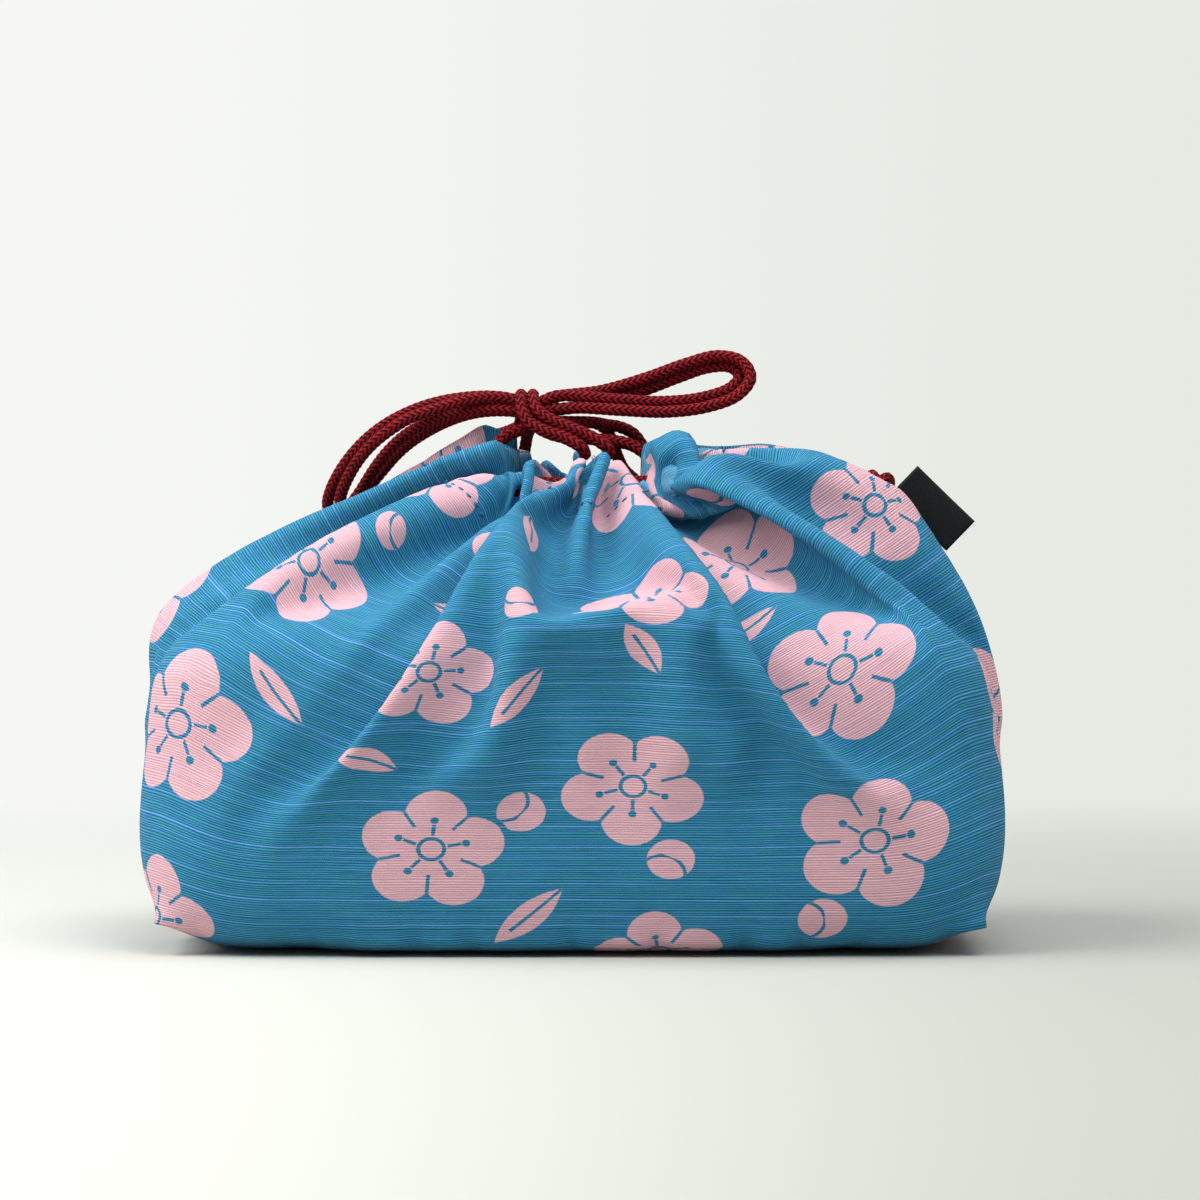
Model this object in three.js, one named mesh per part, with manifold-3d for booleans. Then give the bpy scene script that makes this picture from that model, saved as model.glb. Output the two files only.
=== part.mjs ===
// A gathered drawstring lunch bag, standing full and closed, its two cords tied in a bow over the mouth.
// Millimetres, +Z up. The origin is on the surface the bag stands on, under its middle.
// +X runs to the right as the front is seen, and the front faces -Y.
import * as THREE from "three";
import { mergeVertices } from "three/addons/utils/BufferGeometryUtils.js";
import Module from "manifold-3d";

const wasm = await Module();
wasm.setup();

// Clearances
const SEAM_GAP = 0.3; // between the edges of two sewn panels
const SEAT_GAP = 0.3; // between a piece and the one it rests on
const CORD_CLEAR = 0.35; // between a cord and the casing round it

// Bag body, filled
const BAG_LENGTH = 205; // across the belly, side to side
const BAG_DEPTH = 112; // across the belly, front to back
const BELLY_HEIGHT = 26; // height of the widest ring
const BASE_END_INSET = 4; // the base's edge behind the belly, at each end
const BASE_SIDE_INSET = 5; // and at the front and back
const BASE_LENGTH = BAG_LENGTH - 2 * BASE_END_INSET;
const BASE_DEPTH = BAG_DEPTH - 2 * BASE_SIDE_INSET;
const BASE_CORNER = 20; // corner radius of the base in plan
const SEAT_SHARE = 0.76; // part of the base that lies flat
const EDGE_RISE = 0.8; // the base's edge above the floor, at the front
const CORNER_LIFT = 7; // further rise of the base's two ends
const LIFT_FROM = 0.72; // share of the base's half length where that rise begins
const SHOULDER_HEIGHT = 73; // where the walls turn in
const SHOULDER_END_INSET = 4.5; // the shoulder behind the belly, at each end
const SHOULDER_SIDE_INSET = 3; // and at the front and back
const SHOULDER_LENGTH = BAG_LENGTH - 2 * SHOULDER_END_INSET;
const SHOULDER_DEPTH = BAG_DEPTH - 2 * SHOULDER_SIDE_INSET;
const SHOULDER_CORNER = 40;

// Gathered mouth
const MOUTH_LENGTH = 48;
const MOUTH_DEPTH = 31;
const MOUTH_CORNER = 15;
const MOUTH_HEIGHT = 116; // top of the gathered edge at the front
const EAR_RISE = 7; // how much higher the gathered edge is at the two side seams
// fullness: how far the cloth rises before it turns in. climb: the slope in degrees where it meets the mouth.
// reach: length of cloth that keeps that slope.
const RIGHT_REACH = 45;
const LEFT_REACH = 30;
const FRONT_REACH = 18;
const CROWN = {
  right: { fullness: 0.8, climb: 8, reach: RIGHT_REACH },
  left: { fullness: 0.3, climb: 27, reach: LEFT_REACH },
  front: { fullness: 0.5, climb: 70, reach: FRONT_REACH },
};
const EAR_NARROWING = 4; // how quickly an ear's shape gives way to the front's, away from its seam
// Main folds: place and width as shares of the panel from its right seam, and height, below zero for a valley.
const FRONT_FOLDS = [
  { place: 0.065, width: 0.03, height: -5 },
  { place: 0.12, width: 0.03, height: -8 },
  { place: 0.215, width: 0.045, height: -11.5 },
  { place: 0.3, width: 0.04, height: -4.5 },
  { place: 0.5, width: 0.05, height: 7 },
  { place: 0.62, width: 0.04, height: -3 },
  { place: 0.73, width: 0.07, height: -7 },
  { place: 0.88, width: 0.03, height: -9.5 },
];
const BACK_FOLDS = [
  { place: 0.065, width: 0.03, height: -5 },
  { place: 0.19, width: 0.045, height: -11.5 },
  { place: 0.255, width: 0.05, height: -5 },
  { place: 0.33, width: 0.025, height: -9 },
  { place: 0.46, width: 0.025, height: -8 },
  { place: 0.515, width: 0.03, height: 7 },
  { place: 0.73, width: 0.08, height: -8.5 },
  { place: 0.885, width: 0.03, height: -10.5 },
];
const FOLD_FULL = 0.26; // share of the crown where a fold has its whole height
const FOLD_FADES = 0.52; // where it begins to die away towards the hem
const FOLD_ENDS = 0.72;
const FOLD_LEAN = 37; // degrees above the horizontal in which a fold stands out
const PLEATS = 6; // gathers across one panel
const PLEAT_DEPTH = 2.6;

// Cloth and casing
const CLOTH = 0.9; // thickness of the slub cotton
const CASING = 20; // depth of the hem that the cords run through
const TUNNEL_SHARE = 0.7; // part of the hem that stands open as the tunnel
const SLIT_WIDTH = 11; // opening between the two casings at a side seam
const SLIT_FROM = 0.8; // where along the crown the slit begins

// Seam tapes inside
const TAPE_DEPTH = 7;
const TAPE_THICKNESS = 1.8;
const TAPE_FROM = 1.12; // start of a side seam's tape, as a row of the panel
const TAPE_SHORT = 0.06; // how far below the hem it ends, in rows
const BASE_TAPE_LENGTH = 130;
const CORNER_TAPE_LENGTH = 42;
const CORNER_TAPE_ROW = 0.88; // row of the base that a corner's tape lies on
const CORNER_TAPE_LIFT = 1.1; // its underside above the curved cloth, at the middle of its width

// Woven label, folded over and caught in the right side seam
const LABEL_LENGTH = 19.5;
const LABEL_REACH = 8.6;
const LABEL_RIBBON = 0.4;
const LABEL_FOLD_GAP = 0.3;
const LABEL_GAP = 0.7; // from the seam to the part of the label that swings
const LABEL_PLACE = 0.36; // middle of the label, as a share of the crown

// Braided cords
const CORD = 3; // diameter
const CORD_STEP = 7.5; // length of one step along a cord
const LEFT_CORD_DEPTH = 6; // below the mouth's fold, the cord whose ends leave at the left
const RIGHT_CORD_DEPTH = 11; // the cord whose ends leave at the right
const KNOT_LENGTH = 11;
const KNOT_DEPTH = 8.4;
const KNOT_HEIGHT = 13.4;
const KNOT_SIDE = -10; // place of the bow knot
const KNOT_FORWARD = -1;
const KNOT_LIFT = 4; // middle of the knot above the ears
const STRAND_PITCH = 3.2; // between the strands that enter the knot
const LEAD_TURN = 1.5; // how far in from the casing a lead turns to its partner
const LEAD_LEVEL = 4.2; // how far in it has risen over the casing
const LEAD_FAR = 9; // how far the right leads keep that height
const LEAD_SPREAD = 2.5; // a lead from the middle plane as it turns
const LEAD_CLOSE = 2; // and once it lies beside its partner
const STRAND_STRAIGHT = 2; // how far a strand keeps its way as it leaves the knot
const END_KNOT_RADIUS = 2.2;
const END_KNOT_CORD = 1.05;

// Sampling of the surfaces
const COLUMNS = 54;
const BASE_ROWS = [0, SEAT_SHARE, 0.9, 1];
const WALL_ROWS = [1.18, 1.4, 1.72, 2];
const CROWN_ROWS = [2.06, 2.12, 2.2, 2.28, 2.36, 2.46, 2.56, 2.68, 2.8, 2.92, 3];
const LIP_ANGLES = [45, 90, 135];
const HEM_SHARES = [0, 0.35, TUNNEL_SHARE, 1];
const RUN_POINTS = 14;
const CORD_SIDES = 4; // segments of half a cord's outline

const COLOUR = { cloth: 0x1d5f8c, tape: 0x2a6f9a, label: 0x16161a, cord: 0x6e1420 };
const LIP = CLOTH + CORD / 2 + CORD_CLEAR; // radius of the fold over the tunnel
const MOUTH_ROW = 3;
const TINY = 1e-6;

const mix = (a, b, share) => a + (b - a) * share;
const clamp = (x) => Math.min(1, Math.max(0, x));
const smooth = (x) => clamp(x) ** 2 * (3 - 2 * clamp(x));
const radians = THREE.MathUtils.degToRad;
const V = (x, y, z) => new THREE.Vector3(x, y, z);

// Half the outline of a rounded rectangle: u runs from 0 at the right side seam over the front to 1 at the left.
function ring(u, length, depth, corner) {
  const side = depth / 2 - corner;
  const arc = (Math.PI / 2) * corner;
  const half = side + arc + length / 2 - corner;
  const way = 2 * half * Math.min(u, 1 - u);
  const sign = u > 0.5 ? -1 : 1;
  if (way < side) return [(sign * length) / 2, -way];
  if (way > side + arc) return [sign * (half - way), -depth / 2];
  const angle = (way - side) / corner;
  return [sign * (length / 2 - corner * (1 - Math.cos(angle))), -side - corner * Math.sin(angle)];
}

// A value that changes from the right seam over the front to the left seam.
function around(u, name) {
  const across = Math.cos(Math.PI * u);
  return mix(CROWN.front[name], across > 0 ? CROWN.right[name] : CROWN.left[name], across ** EAR_NARROWING);
}

function edgeHeight(u) {
  const [x] = ring(u, BASE_LENGTH, BASE_DEPTH, BASE_CORNER);
  return EDGE_RISE + CORNER_LIFT * smooth((Math.abs(x) / (BASE_LENGTH / 2) - LIFT_FROM) / (1 - LIFT_FROM));
}

function basePoint(u, row) {
  const [x, y] = ring(u, BASE_LENGTH, BASE_DEPTH, BASE_CORNER);
  const rise = Math.max(0, (row - SEAT_SHARE) / (1 - SEAT_SHARE)) ** 2;
  return V(x * row, y * row, edgeHeight(u) * rise);
}

function wallPoint(u, share) {
  const belly = BELLY_HEIGHT / SHOULDER_HEIGHT;
  const below = share < belly;
  const away = (below ? 1 - share / belly : (share - belly) / (1 - belly)) ** 2;
  const length = mix(BAG_LENGTH, below ? BASE_LENGTH : SHOULDER_LENGTH, away);
  const depth = mix(BAG_DEPTH, below ? BASE_DEPTH : SHOULDER_DEPTH, away);
  const [x, y] = ring(u, length, depth, mix(BASE_CORNER, SHOULDER_CORNER, share));
  return V(x, y, mix(edgeHeight(u), SHOULDER_HEIGHT, share));
}

// The height of a panel's folds at a place of its crown.
function foldAt(u, share, folds) {
  const rise = smooth(share / FOLD_FULL) * (1 - smooth((share - FOLD_FADES) / (FOLD_ENDS - FOLD_FADES)));
  return rise * folds.reduce((sum, fold) => sum + fold.height * Math.exp(-(((u - fold.place) / fold.width) ** 2)), 0);
}

// From the shoulder the cloth rises, turns in and runs up to the mouth, in long folds.
function crownPoint(u, share, folds) {
  const shoulder = wallPoint(u, 1);
  const [x, y] = ring(u, MOUTH_LENGTH, MOUTH_DEPTH, MOUTH_CORNER);
  const ear = Math.cos(Math.PI * u) ** 2;
  const climb = radians(around(u, "climb"));
  const mouth = V(x, y, MOUTH_HEIGHT + EAR_RISE * ear - LIP * Math.sin(climb));
  const rising = shoulder.clone();
  rising.z = mix(shoulder.z, mouth.z, around(u, "fullness"));
  const outward = V(shoulder.x - x, shoulder.y - y, 0).normalize();
  const slope = outward.clone().multiplyScalar(Math.cos(climb));
  slope.z = -Math.sin(climb);
  const turning = mouth.clone().addScaledVector(slope, around(u, "reach"));
  const point = new THREE.CubicBezierCurve3(shoulder, rising, turning, mouth).getPoint(share);
  const lean = radians(FOLD_LEAN);
  const stand = outward.multiplyScalar(Math.cos(lean)).add(V(0, 0, Math.sin(lean)));
  return point.addScaledVector(stand, foldAt(u, share, folds));
}

// Rows 0 to 1 are the base, from its middle to its edge; 1 to 2 the wall; 2 to 3 the crown up to the mouth.
function surface(u, row, folds = FRONT_FOLDS) {
  if (row <= 1) return basePoint(u, row);
  return row <= 2 ? wallPoint(u, row - 1) : crownPoint(u, row - 2, folds);
}

// The panel's own columns keep clear of the side seam where the slit is open.
function panelPoint(u, row, folds = FRONT_FOLDS) {
  const halfMouth = MOUTH_LENGTH + MOUTH_DEPTH - (4 - Math.PI) * MOUTH_CORNER;
  const slit = (smooth((row - 2 - SLIT_FROM) / (1 - SLIT_FROM)) * SLIT_WIDTH) / 2 / halfMouth;
  return surface(slit + u * (1 - 2 * slit), row, folds);
}

function outwardAt(u, row, folds = FRONT_FOLDS) {
  if (row <= SEAT_SHARE) return V(0, 0, -1);
  const step = 1e-3;
  const up = panelPoint(u, row + step, folds).sub(panelPoint(u, row - step, folds));
  const along = panelPoint(u + step, row, folds).sub(panelPoint(u - step, row, folds));
  return up.cross(along).normalize();
}

// The row of the crown that lies a given length of cloth below the mouth.
function rowBelow(u, length, folds = FRONT_FOLDS) {
  let row = MOUTH_ROW;
  let left = length;
  let here = panelPoint(u, row, folds);
  while (left > 0 && row > 2) {
    const next = panelPoint(u, row - 0.01, folds);
    const step = here.distanceTo(next);
    row -= 0.01 * Math.min(1, left / step);
    left -= step;
    here = next;
  }
  return row;
}

// A closed solid through sections that each hold a right side and a wrong side, point for point.
function sheetGeometry(sections) {
  const corners = [];
  const triangle = (a, b, c) => {
    const longEnough = a.distanceTo(b) > TINY && b.distanceTo(c) > TINY && c.distanceTo(a) > TINY;
    if (longEnough) corners.push(a, b, c);
  };
  const quad = (a, b, c, d) => {
    triangle(a, b, c);
    triangle(a, c, d);
  };
  const loops = sections.map(({ right, wrong }) => [...right, ...wrong.toReversed()]);
  for (let i = 1; i < loops.length; i += 1) {
    const [last, loop] = [loops[i - 1], loops[i]];
    loop.forEach((point, k) => {
      const next = (k + 1) % loop.length;
      quad(last[k], last[next], loop[next], point);
    });
  }
  const [first, final] = [sections[0], sections.at(-1)];
  for (let k = 1; k < first.right.length; k += 1) {
    quad(first.right[k], first.right[k - 1], first.wrong[k - 1], first.wrong[k]);
    quad(final.right[k - 1], final.right[k], final.wrong[k], final.wrong[k - 1]);
  }
  return mergeVertices(new THREE.BufferGeometry().setFromPoints(corners), 1e-4);
}

// One column of a panel: up the outside, over the fold at the mouth and down the hem inside.
function panelSection(u, folds) {
  const right = [];
  const wrong = [];
  for (const row of [...BASE_ROWS, ...WALL_ROWS, ...CROWN_ROWS]) {
    const out = outwardAt(u, row, folds);
    const pleat = pleatAt(u, row);
    const point = panelPoint(u, row, folds);
    right.push(point.clone().addScaledVector(out, pleat));
    wrong.push(point.clone().addScaledVector(out, pleat - CLOTH));
  }
  const mouth = panelPoint(u, MOUTH_ROW, folds);
  const out = outwardAt(u, MOUTH_ROW, folds);
  const up = mouth.clone().sub(panelPoint(u, MOUTH_ROW - 1e-3, folds)).normalize();
  const pleat = pleatAt(u, MOUTH_ROW);
  const middle = mouth.clone().addScaledVector(out, pleat / 2 - LIP);
  for (const angle of LIP_ANGLES.map(radians)) {
    for (const [side, inset] of [[right, 0], [wrong, CLOTH]]) {
      const across = (LIP + pleat / 2 - inset) * Math.cos(angle);
      const over = (LIP - inset) * Math.sin(angle);
      side.push(middle.clone().addScaledVector(out, across).addScaledVector(up, over));
    }
  }
  for (const share of HEM_SHARES) {
    const row = rowBelow(u, share * CASING, folds);
    const closing = smooth((share - TUNNEL_SHARE) / (1 - TUNNEL_SHARE));
    const depth = mix(2 * LIP, 2 * CLOTH + SEAT_GAP, closing);
    const inward = outwardAt(u, row, folds).negate();
    right.push(panelPoint(u, row, folds).addScaledVector(inward, depth));
    wrong.push(panelPoint(u, row, folds).addScaledVector(inward, depth - CLOTH));
  }
  return { right, wrong };
}

function pleatAt(u, row) {
  const wave = (1 - Math.cos(2 * Math.PI * PLEATS * u)) / 2;
  return PLEAT_DEPTH * wave * smooth((row - 2.35) / 0.6);
}

const mirrored = (point) => V(point.x, -point.y, point.z);

// A panel half a seam's gap from the middle plane. The back one is made as a front, then mirrored.
function panelGeometry(back) {
  const shift = V(0, -SEAM_GAP / 2, 0);
  let sections = [];
  const folds = back ? BACK_FOLDS : FRONT_FOLDS;
  for (let i = 0; i <= COLUMNS; i += 1) sections.push(panelSection(i / COLUMNS, folds));
  sections = sections.map(({ right, wrong }) => {
    const place = (point) => (back ? mirrored(point.add(shift)) : point.add(shift));
    return { right: right.map(place), wrong: wrong.map(place) };
  });
  return sheetGeometry(back ? sections.reverse() : sections);
}

// A tape folded over the raw edges of a side seam, standing in from it; u is 0 for the right seam, 1 for the left.
function sideTapeGeometry(u) {
  const top = rowBelow(u, CASING) - TAPE_SHORT;
  const between = [...WALL_ROWS, ...CROWN_ROWS].filter((row) => row > TAPE_FROM && row < top);
  const half = TAPE_THICKNESS / 2;
  const sections = [];
  for (const row of [TAPE_FROM, ...between, top]) {
    const inward = outwardAt(u, row).setY(0).normalize().negate();
    const outer = surface(u, row).setY(0).addScaledVector(inward, CLOTH + 2 * SEAT_GAP);
    const inner = outer.clone().addScaledVector(inward, TAPE_DEPTH);
    const side = (point, y) => point.clone().setY(y);
    const front = [side(outer, -half), side(inner, -half)];
    const rear = [side(outer, half), side(inner, half)];
    sections.push(u > 0.5 ? { right: front, wrong: rear } : { right: rear, wrong: front });
  }
  return sheetGeometry(sections);
}

// A flat tape with rounded long edges, lying along its own X.
function flatTapeGeometry(length) {
  const half = TAPE_DEPTH / 2;
  const edge = TAPE_THICKNESS / 2;
  const outline = new THREE.Shape();
  outline.absarc(half - edge, edge, edge, -Math.PI / 2, Math.PI / 2);
  outline.absarc(edge - half, edge, edge, Math.PI / 2, (3 * Math.PI) / 2);
  const options = { depth: length, bevelEnabled: false, curveSegments: CORD_SIDES / 2 };
  const geometry = new THREE.ExtrudeGeometry(outline, options).translate(0, 0, -length / 2);
  return geometry.rotateX(Math.PI / 2).rotateZ(Math.PI / 2);
}

// A ribbon folded over on itself: its two cut edges lie along local X at the root, its fold at +Z.
function labelGeometry() {
  const half = LABEL_RIBBON + LABEL_FOLD_GAP / 2;
  const slot = LABEL_FOLD_GAP / 2;
  const fold = LABEL_REACH - half;
  const outline = new THREE.Shape();
  outline.moveTo(-half, 0).lineTo(-slot, 0).lineTo(-slot, fold);
  outline.absarc(0, fold, slot, Math.PI, 0, true);
  outline.lineTo(slot, 0).lineTo(half, 0).lineTo(half, fold);
  outline.absarc(0, fold, half, 0, Math.PI, false);
  const options = { depth: LABEL_LENGTH, bevelEnabled: false, curveSegments: CORD_SIDES };
  const geometry = new THREE.ExtrudeGeometry(outline, options).translate(0, 0, -LABEL_LENGTH / 2);
  return geometry.rotateX(Math.PI / 2).rotateZ(Math.PI / 2);
}

// A cord along its route.
function cordGeometry(route, diameter = CORD) {
  const extrudePath = new THREE.CatmullRomCurve3(route, false, "centripetal");
  const outline = new THREE.Shape().absarc(0, 0, diameter / 2, 0, 2 * Math.PI);
  const steps = Math.max(4, Math.ceil(extrudePath.getLength() / CORD_STEP) * 2);
  return new THREE.ExtrudeGeometry(outline, { steps, curveSegments: CORD_SIDES, extrudePath });
}

// The middle of the tunnel, a given length below the mouth's fold.
function tunnelPoint(u, depth, folds = FRONT_FOLDS) {
  const row = rowBelow(u, depth, folds);
  const inward = outwardAt(u, row, folds).negate();
  return panelPoint(u, row, folds).addScaledVector(inward, LIP).add(V(0, -SEAM_GAP / 2, 0));
}

// A cord's way through the front casing and back through the rear one; both ends come out at the given seam.
function casingRoute(fromLeft, depth) {
  const run = (folds) => {
    const route = [];
    for (let i = 0; i <= RUN_POINTS; i += 1) {
      const share = i / RUN_POINTS;
      route.push(tunnelPoint(fromLeft ? 1 - share : share, depth, folds));
    }
    return route;
  };
  return [...run(FRONT_FOLDS), ...run(BACK_FOLDS).reverse().map(mirrored)];
}

const knot = V(KNOT_SIDE, KNOT_FORWARD, MOUTH_HEIGHT + EAR_RISE + KNOT_LIFT);

// Where a strand meets the knot: side is 1 for the right face, row 0 is the top strand, rear the one behind.
function knotSlot(side, row, rear) {
  const out = KNOT_LENGTH / 2 + 2 * SEAT_GAP;
  return V(side * out, ((rear ? 1 : -1) * STRAND_PITCH) / 2, (1.5 - row) * STRAND_PITCH).add(knot);
}

// A lead from the end of the cord's run in the casing to the knot.
function leadRoute(side, rear, depth) {
  const end = tunnelPoint(side > 0 ? 0 : 1, depth);
  const slot = knotSlot(side, 3, rear);
  const forward = rear ? 1 : -1;
  const over = depth > LEFT_CORD_DEPTH ? 1.6 * CORD + SEAT_GAP : CORD / 2;
  const along = (inward, across, rise) => V(end.x - side * inward, forward * across, end.z + rise);
  const leave = Math.abs(end.y) - 4 * SEAT_GAP;
  const route = [along(0, leave, 0), along(SEAT_GAP / 3, leave - CORD / 4, SEAT_GAP / 2)];
  route.push(along(LEAD_TURN, LEAD_SPREAD, over * 0.6), along(LEAD_LEVEL, LEAD_CLOSE, over));
  const far = along(LEAD_FAR, LEAD_CLOSE, over);
  if (side > 0) route.push(far, mixPoint(far, slot, 0.6));
  return [...route, slot];
}

const mixPoint = (a, b, share) => a.clone().lerp(b, share);
const fromKnot = (points) => points.map(([x, y, z]) => V(x, y, z).add(knot));

// Loops and tails of the bow, from the knot's middle.
const RIGHT_LOOP_OUTER = [
  [12, -1.9, 1.9], [22, -2.2, 1.3], [33, -2.0, 0.9], [43, -1.2, 2.2],
  [50.5, 0.3, 5.2], [53.6, 1.8, 9.6], [51.4, 3.1, 13.6], [45.6, 3.9, 15],
  [37.5, 4.3, 13], [28, 4.3, 9.6], [17, 3.4, 6.4],
];
const RIGHT_LOOP_INNER = [
  [12, -1.8, 5.1], [22, -1.8, 4.6], [32, -1.2, 4.3], [41, 0.2, 5.3],
  [46.6, 2.4, 7.4], [48.3, 4.2, 9.8], [46.2, 5.6, 11.4], [42, 6.2, 11.3],
  [35.5, 6.6, 9], [27, 6, 5.6], [16, 3.9, 2.8],
];
const LEFT_LOOP_FRONT = [
  [-14, -1.5, 4.3], [-25, -0.7, 1.2], [-35.5, 2.2, -3.6], [-42, 6, -9.2],
  [-46, 10.4, -15], [-48.4, 15, -20.6], [-48, 19.6, -23.6], [-44.5, 20.6, -20.8],
  [-39.5, 16.6, -14.6], [-32.5, 11.2, -7.8], [-23.5, 5.4, -3], [-14, 0.2, 0.6],
];
const LEFT_LOOP_REAR = [
  [-14, 1.9, 4.9], [-25, 3, 3.2], [-36.5, 6, -1.8], [-44, 9.8, -8],
  [-49, 13.8, -14.6], [-51.8, 18.6, -20.8], [-51.4, 23.4, -24], [-46.5, 25, -23],
  [-39.5, 23.2, -17.6], [-33, 16.9, -11.4], [-23.5, 9.7, -5.2], [-14, 3.5, 0],
];
const RIGHT_TAIL_FRONT = [
  [13.8, 1.5, -1.3], [22.5, 7, -2], [29.5, 13.3, -3.8], [37, 18.4, -8.6], [48, 20.9, -13],
  [58, 21.1, -12.5], [67.5, 19.1, -11], [75, 15.6, -10.6], [80.5, 11.5, -11.4],
];
const RIGHT_TAIL_REAR = [
  [12.6, 5.3, -1.1], [20, 10.9, -1.8], [26.5, 17, -4.2], [34.5, 22, -9.6], [47, 24.6, -16.2],
  [58.5, 24.8, -16.4], [69.5, 22.6, -14.6], [77.6, 19, -12.8], [83, 14.8, -12.8],
];
const LEFT_TAIL_FRONT = [
  [-3, 10, -3.2], [-5.2, 15.6, -5], [-8.6, 21.2, -9.8], [-12.2, 26.6, -16.6], [-16.4, 32.4, -23],
  [-20.6, 38.2, -28.2], [-24.2, 43.8, -31.2],
];
const LEFT_TAIL_REAR = [
  [0.5, 10, -3.2], [-1.6, 15.4, -5], [-4.6, 20.6, -9.6], [-8.2, 26, -16.6], [-12.2, 32, -23],
  [-16.2, 38, -28], [-19.6, 44, -31],
];

// A strand leaves the knot square to its face.
const straightFrom = (slot, way) => [slot, slot.clone().addScaledVector(way, STRAND_STRAIGHT)];

function loopRoute(side, [outRow, outRear], [backRow, backRear], points) {
  const out = straightFrom(knotSlot(side, outRow, outRear), V(side, 0, 0));
  const back = straightFrom(knotSlot(side, backRow, backRear), V(side, 0, 0));
  return [...out, ...fromKnot(points), ...back.reverse()];
}

const rightTailRoute = (rear, points) => [...straightFrom(knotSlot(1, 2, rear), V(1, 0, 0)), ...fromKnot(points)];

// The left tail leaves behind the knot.
function leftTailRoute(rear, points) {
  const across = ((rear ? 1 : -1) * STRAND_PITCH) / 2;
  const slot = V(across, KNOT_DEPTH / 2 + 2 * SEAT_GAP, -STRAND_PITCH / 2).add(knot);
  return [...straightFrom(slot, V(0, 1, 0)), ...fromKnot(points)];
}

function toSolid(geometry) {
  const bare = new THREE.BufferGeometry().setAttribute("position", geometry.getAttribute("position").clone());
  if (geometry.index) bare.setIndex(geometry.index.clone());
  const merged = mergeVertices(bare, 1e-3);
  const vertProperties = merged.getAttribute("position").array;
  return new wasm.Manifold(new wasm.Mesh({ numProp: 3, vertProperties, triVerts: new Uint32Array(merged.index.array) }));
}

function toGeometry(solid) {
  const { vertProperties, triVerts, numProp } = solid.getMesh();
  const points = new THREE.InterleavedBuffer(vertProperties, numProp);
  const geometry = new THREE.BufferGeometry().setIndex(new THREE.BufferAttribute(triVerts, 1));
  return geometry.setAttribute("position", new THREE.InterleavedBufferAttribute(points, 3, 0));
}

// The bow's knot: a bundle of strands with two turns of doubled cord drawn tight round it.
function knotGeometry() {
  const profile = [];
  const steps = 8;
  for (let i = 0; i <= steps; i += 1) {
    const angle = mix(-Math.PI / 2, Math.PI / 2, i / steps);
    profile.push(new THREE.Vector2(Math.cos(angle) ** 0.6, Math.sign(Math.sin(angle)) * Math.abs(Math.sin(angle)) ** 0.8));
  }
  const bundle = new THREE.LatheGeometry(profile, 16).rotateZ(-Math.PI / 2);
  bundle.scale(KNOT_LENGTH / 2, KNOT_DEPTH / 2 - 0.8, KNOT_HEIGHT / 2 - 0.8);
  const turns = [-1, 1].map((side) => {
    const wrap = new THREE.TorusGeometry(1, 0.26, 8, 24).rotateY(Math.PI / 2);
    wrap.scale(CORD / 2 / 0.26, KNOT_DEPTH / 2 - 1, KNOT_HEIGHT / 2 - 1.6);
    return wrap.rotateY(0.12).translate((side * (CORD + SEAT_GAP)) / 2, 0, 0);
  });
  return toGeometry([bundle, ...turns].map(toSolid).reduce((a, b) => a.add(b)));
}

// An overhand knot at the end of a doubled tail.
function endKnotGeometry() {
  return new THREE.TorusKnotGeometry(END_KNOT_RADIUS, END_KNOT_CORD, 40, 7, 2, 3).scale(1, 1, 1.25);
}

const bag = new THREE.Group();
bag.name = "drawstring_lunch_bag";

function add(name, geometry, colour, roughness) {
  const material = new THREE.MeshStandardMaterial({ color: colour, roughness, metalness: 0 });
  const mesh = new THREE.Mesh(geometry, material);
  mesh.name = name;
  bag.add(mesh);
  return mesh;
}

const addCloth = (name, geometry) => add(name, geometry, COLOUR.cloth, 0.9);
const addTape = (name, geometry) => add(name, geometry, COLOUR.tape, 0.9);
const addCord = (name, geometry) => add(name, geometry, COLOUR.cord, 0.8);

// Places a mesh so that its own X runs along the side seam or across it, and its own Z stands out of the cloth.
function stand(mesh, point, along, out) {
  const basis = new THREE.Matrix4().makeBasis(along, out.clone().cross(along), out);
  mesh.quaternion.setFromRotationMatrix(basis);
  mesh.position.copy(point);
}

addCloth("front_panel", panelGeometry(false));
addCloth("back_panel", panelGeometry(true));

addTape("right_seam_tape", sideTapeGeometry(0));
addTape("left_seam_tape", sideTapeGeometry(1));
addTape("base_seam_tape", flatTapeGeometry(BASE_TAPE_LENGTH)).position.z = CLOTH + SEAT_GAP;
for (const [name, u] of [["right_corner_tape", 0], ["left_corner_tape", 1]]) {
  const inward = outwardAt(u, CORNER_TAPE_ROW).setY(0).normalize().negate();
  const place = surface(u, CORNER_TAPE_ROW).setY(0).addScaledVector(inward, CLOTH + CORNER_TAPE_LIFT);
  stand(addTape(name, flatTapeGeometry(CORNER_TAPE_LENGTH)), place, V(0, 1, 0), inward);
}

const labelRow = 2 + LABEL_PLACE;
const labelOut = outwardAt(0, labelRow).setY(0).normalize();
const labelPlace = surface(0, labelRow).setY(0).addScaledVector(labelOut, LABEL_GAP);
const label = add("label", labelGeometry(), COLOUR.label, 0.85);
stand(label, labelPlace, V(0, 1, 0).cross(labelOut), labelOut);

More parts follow.
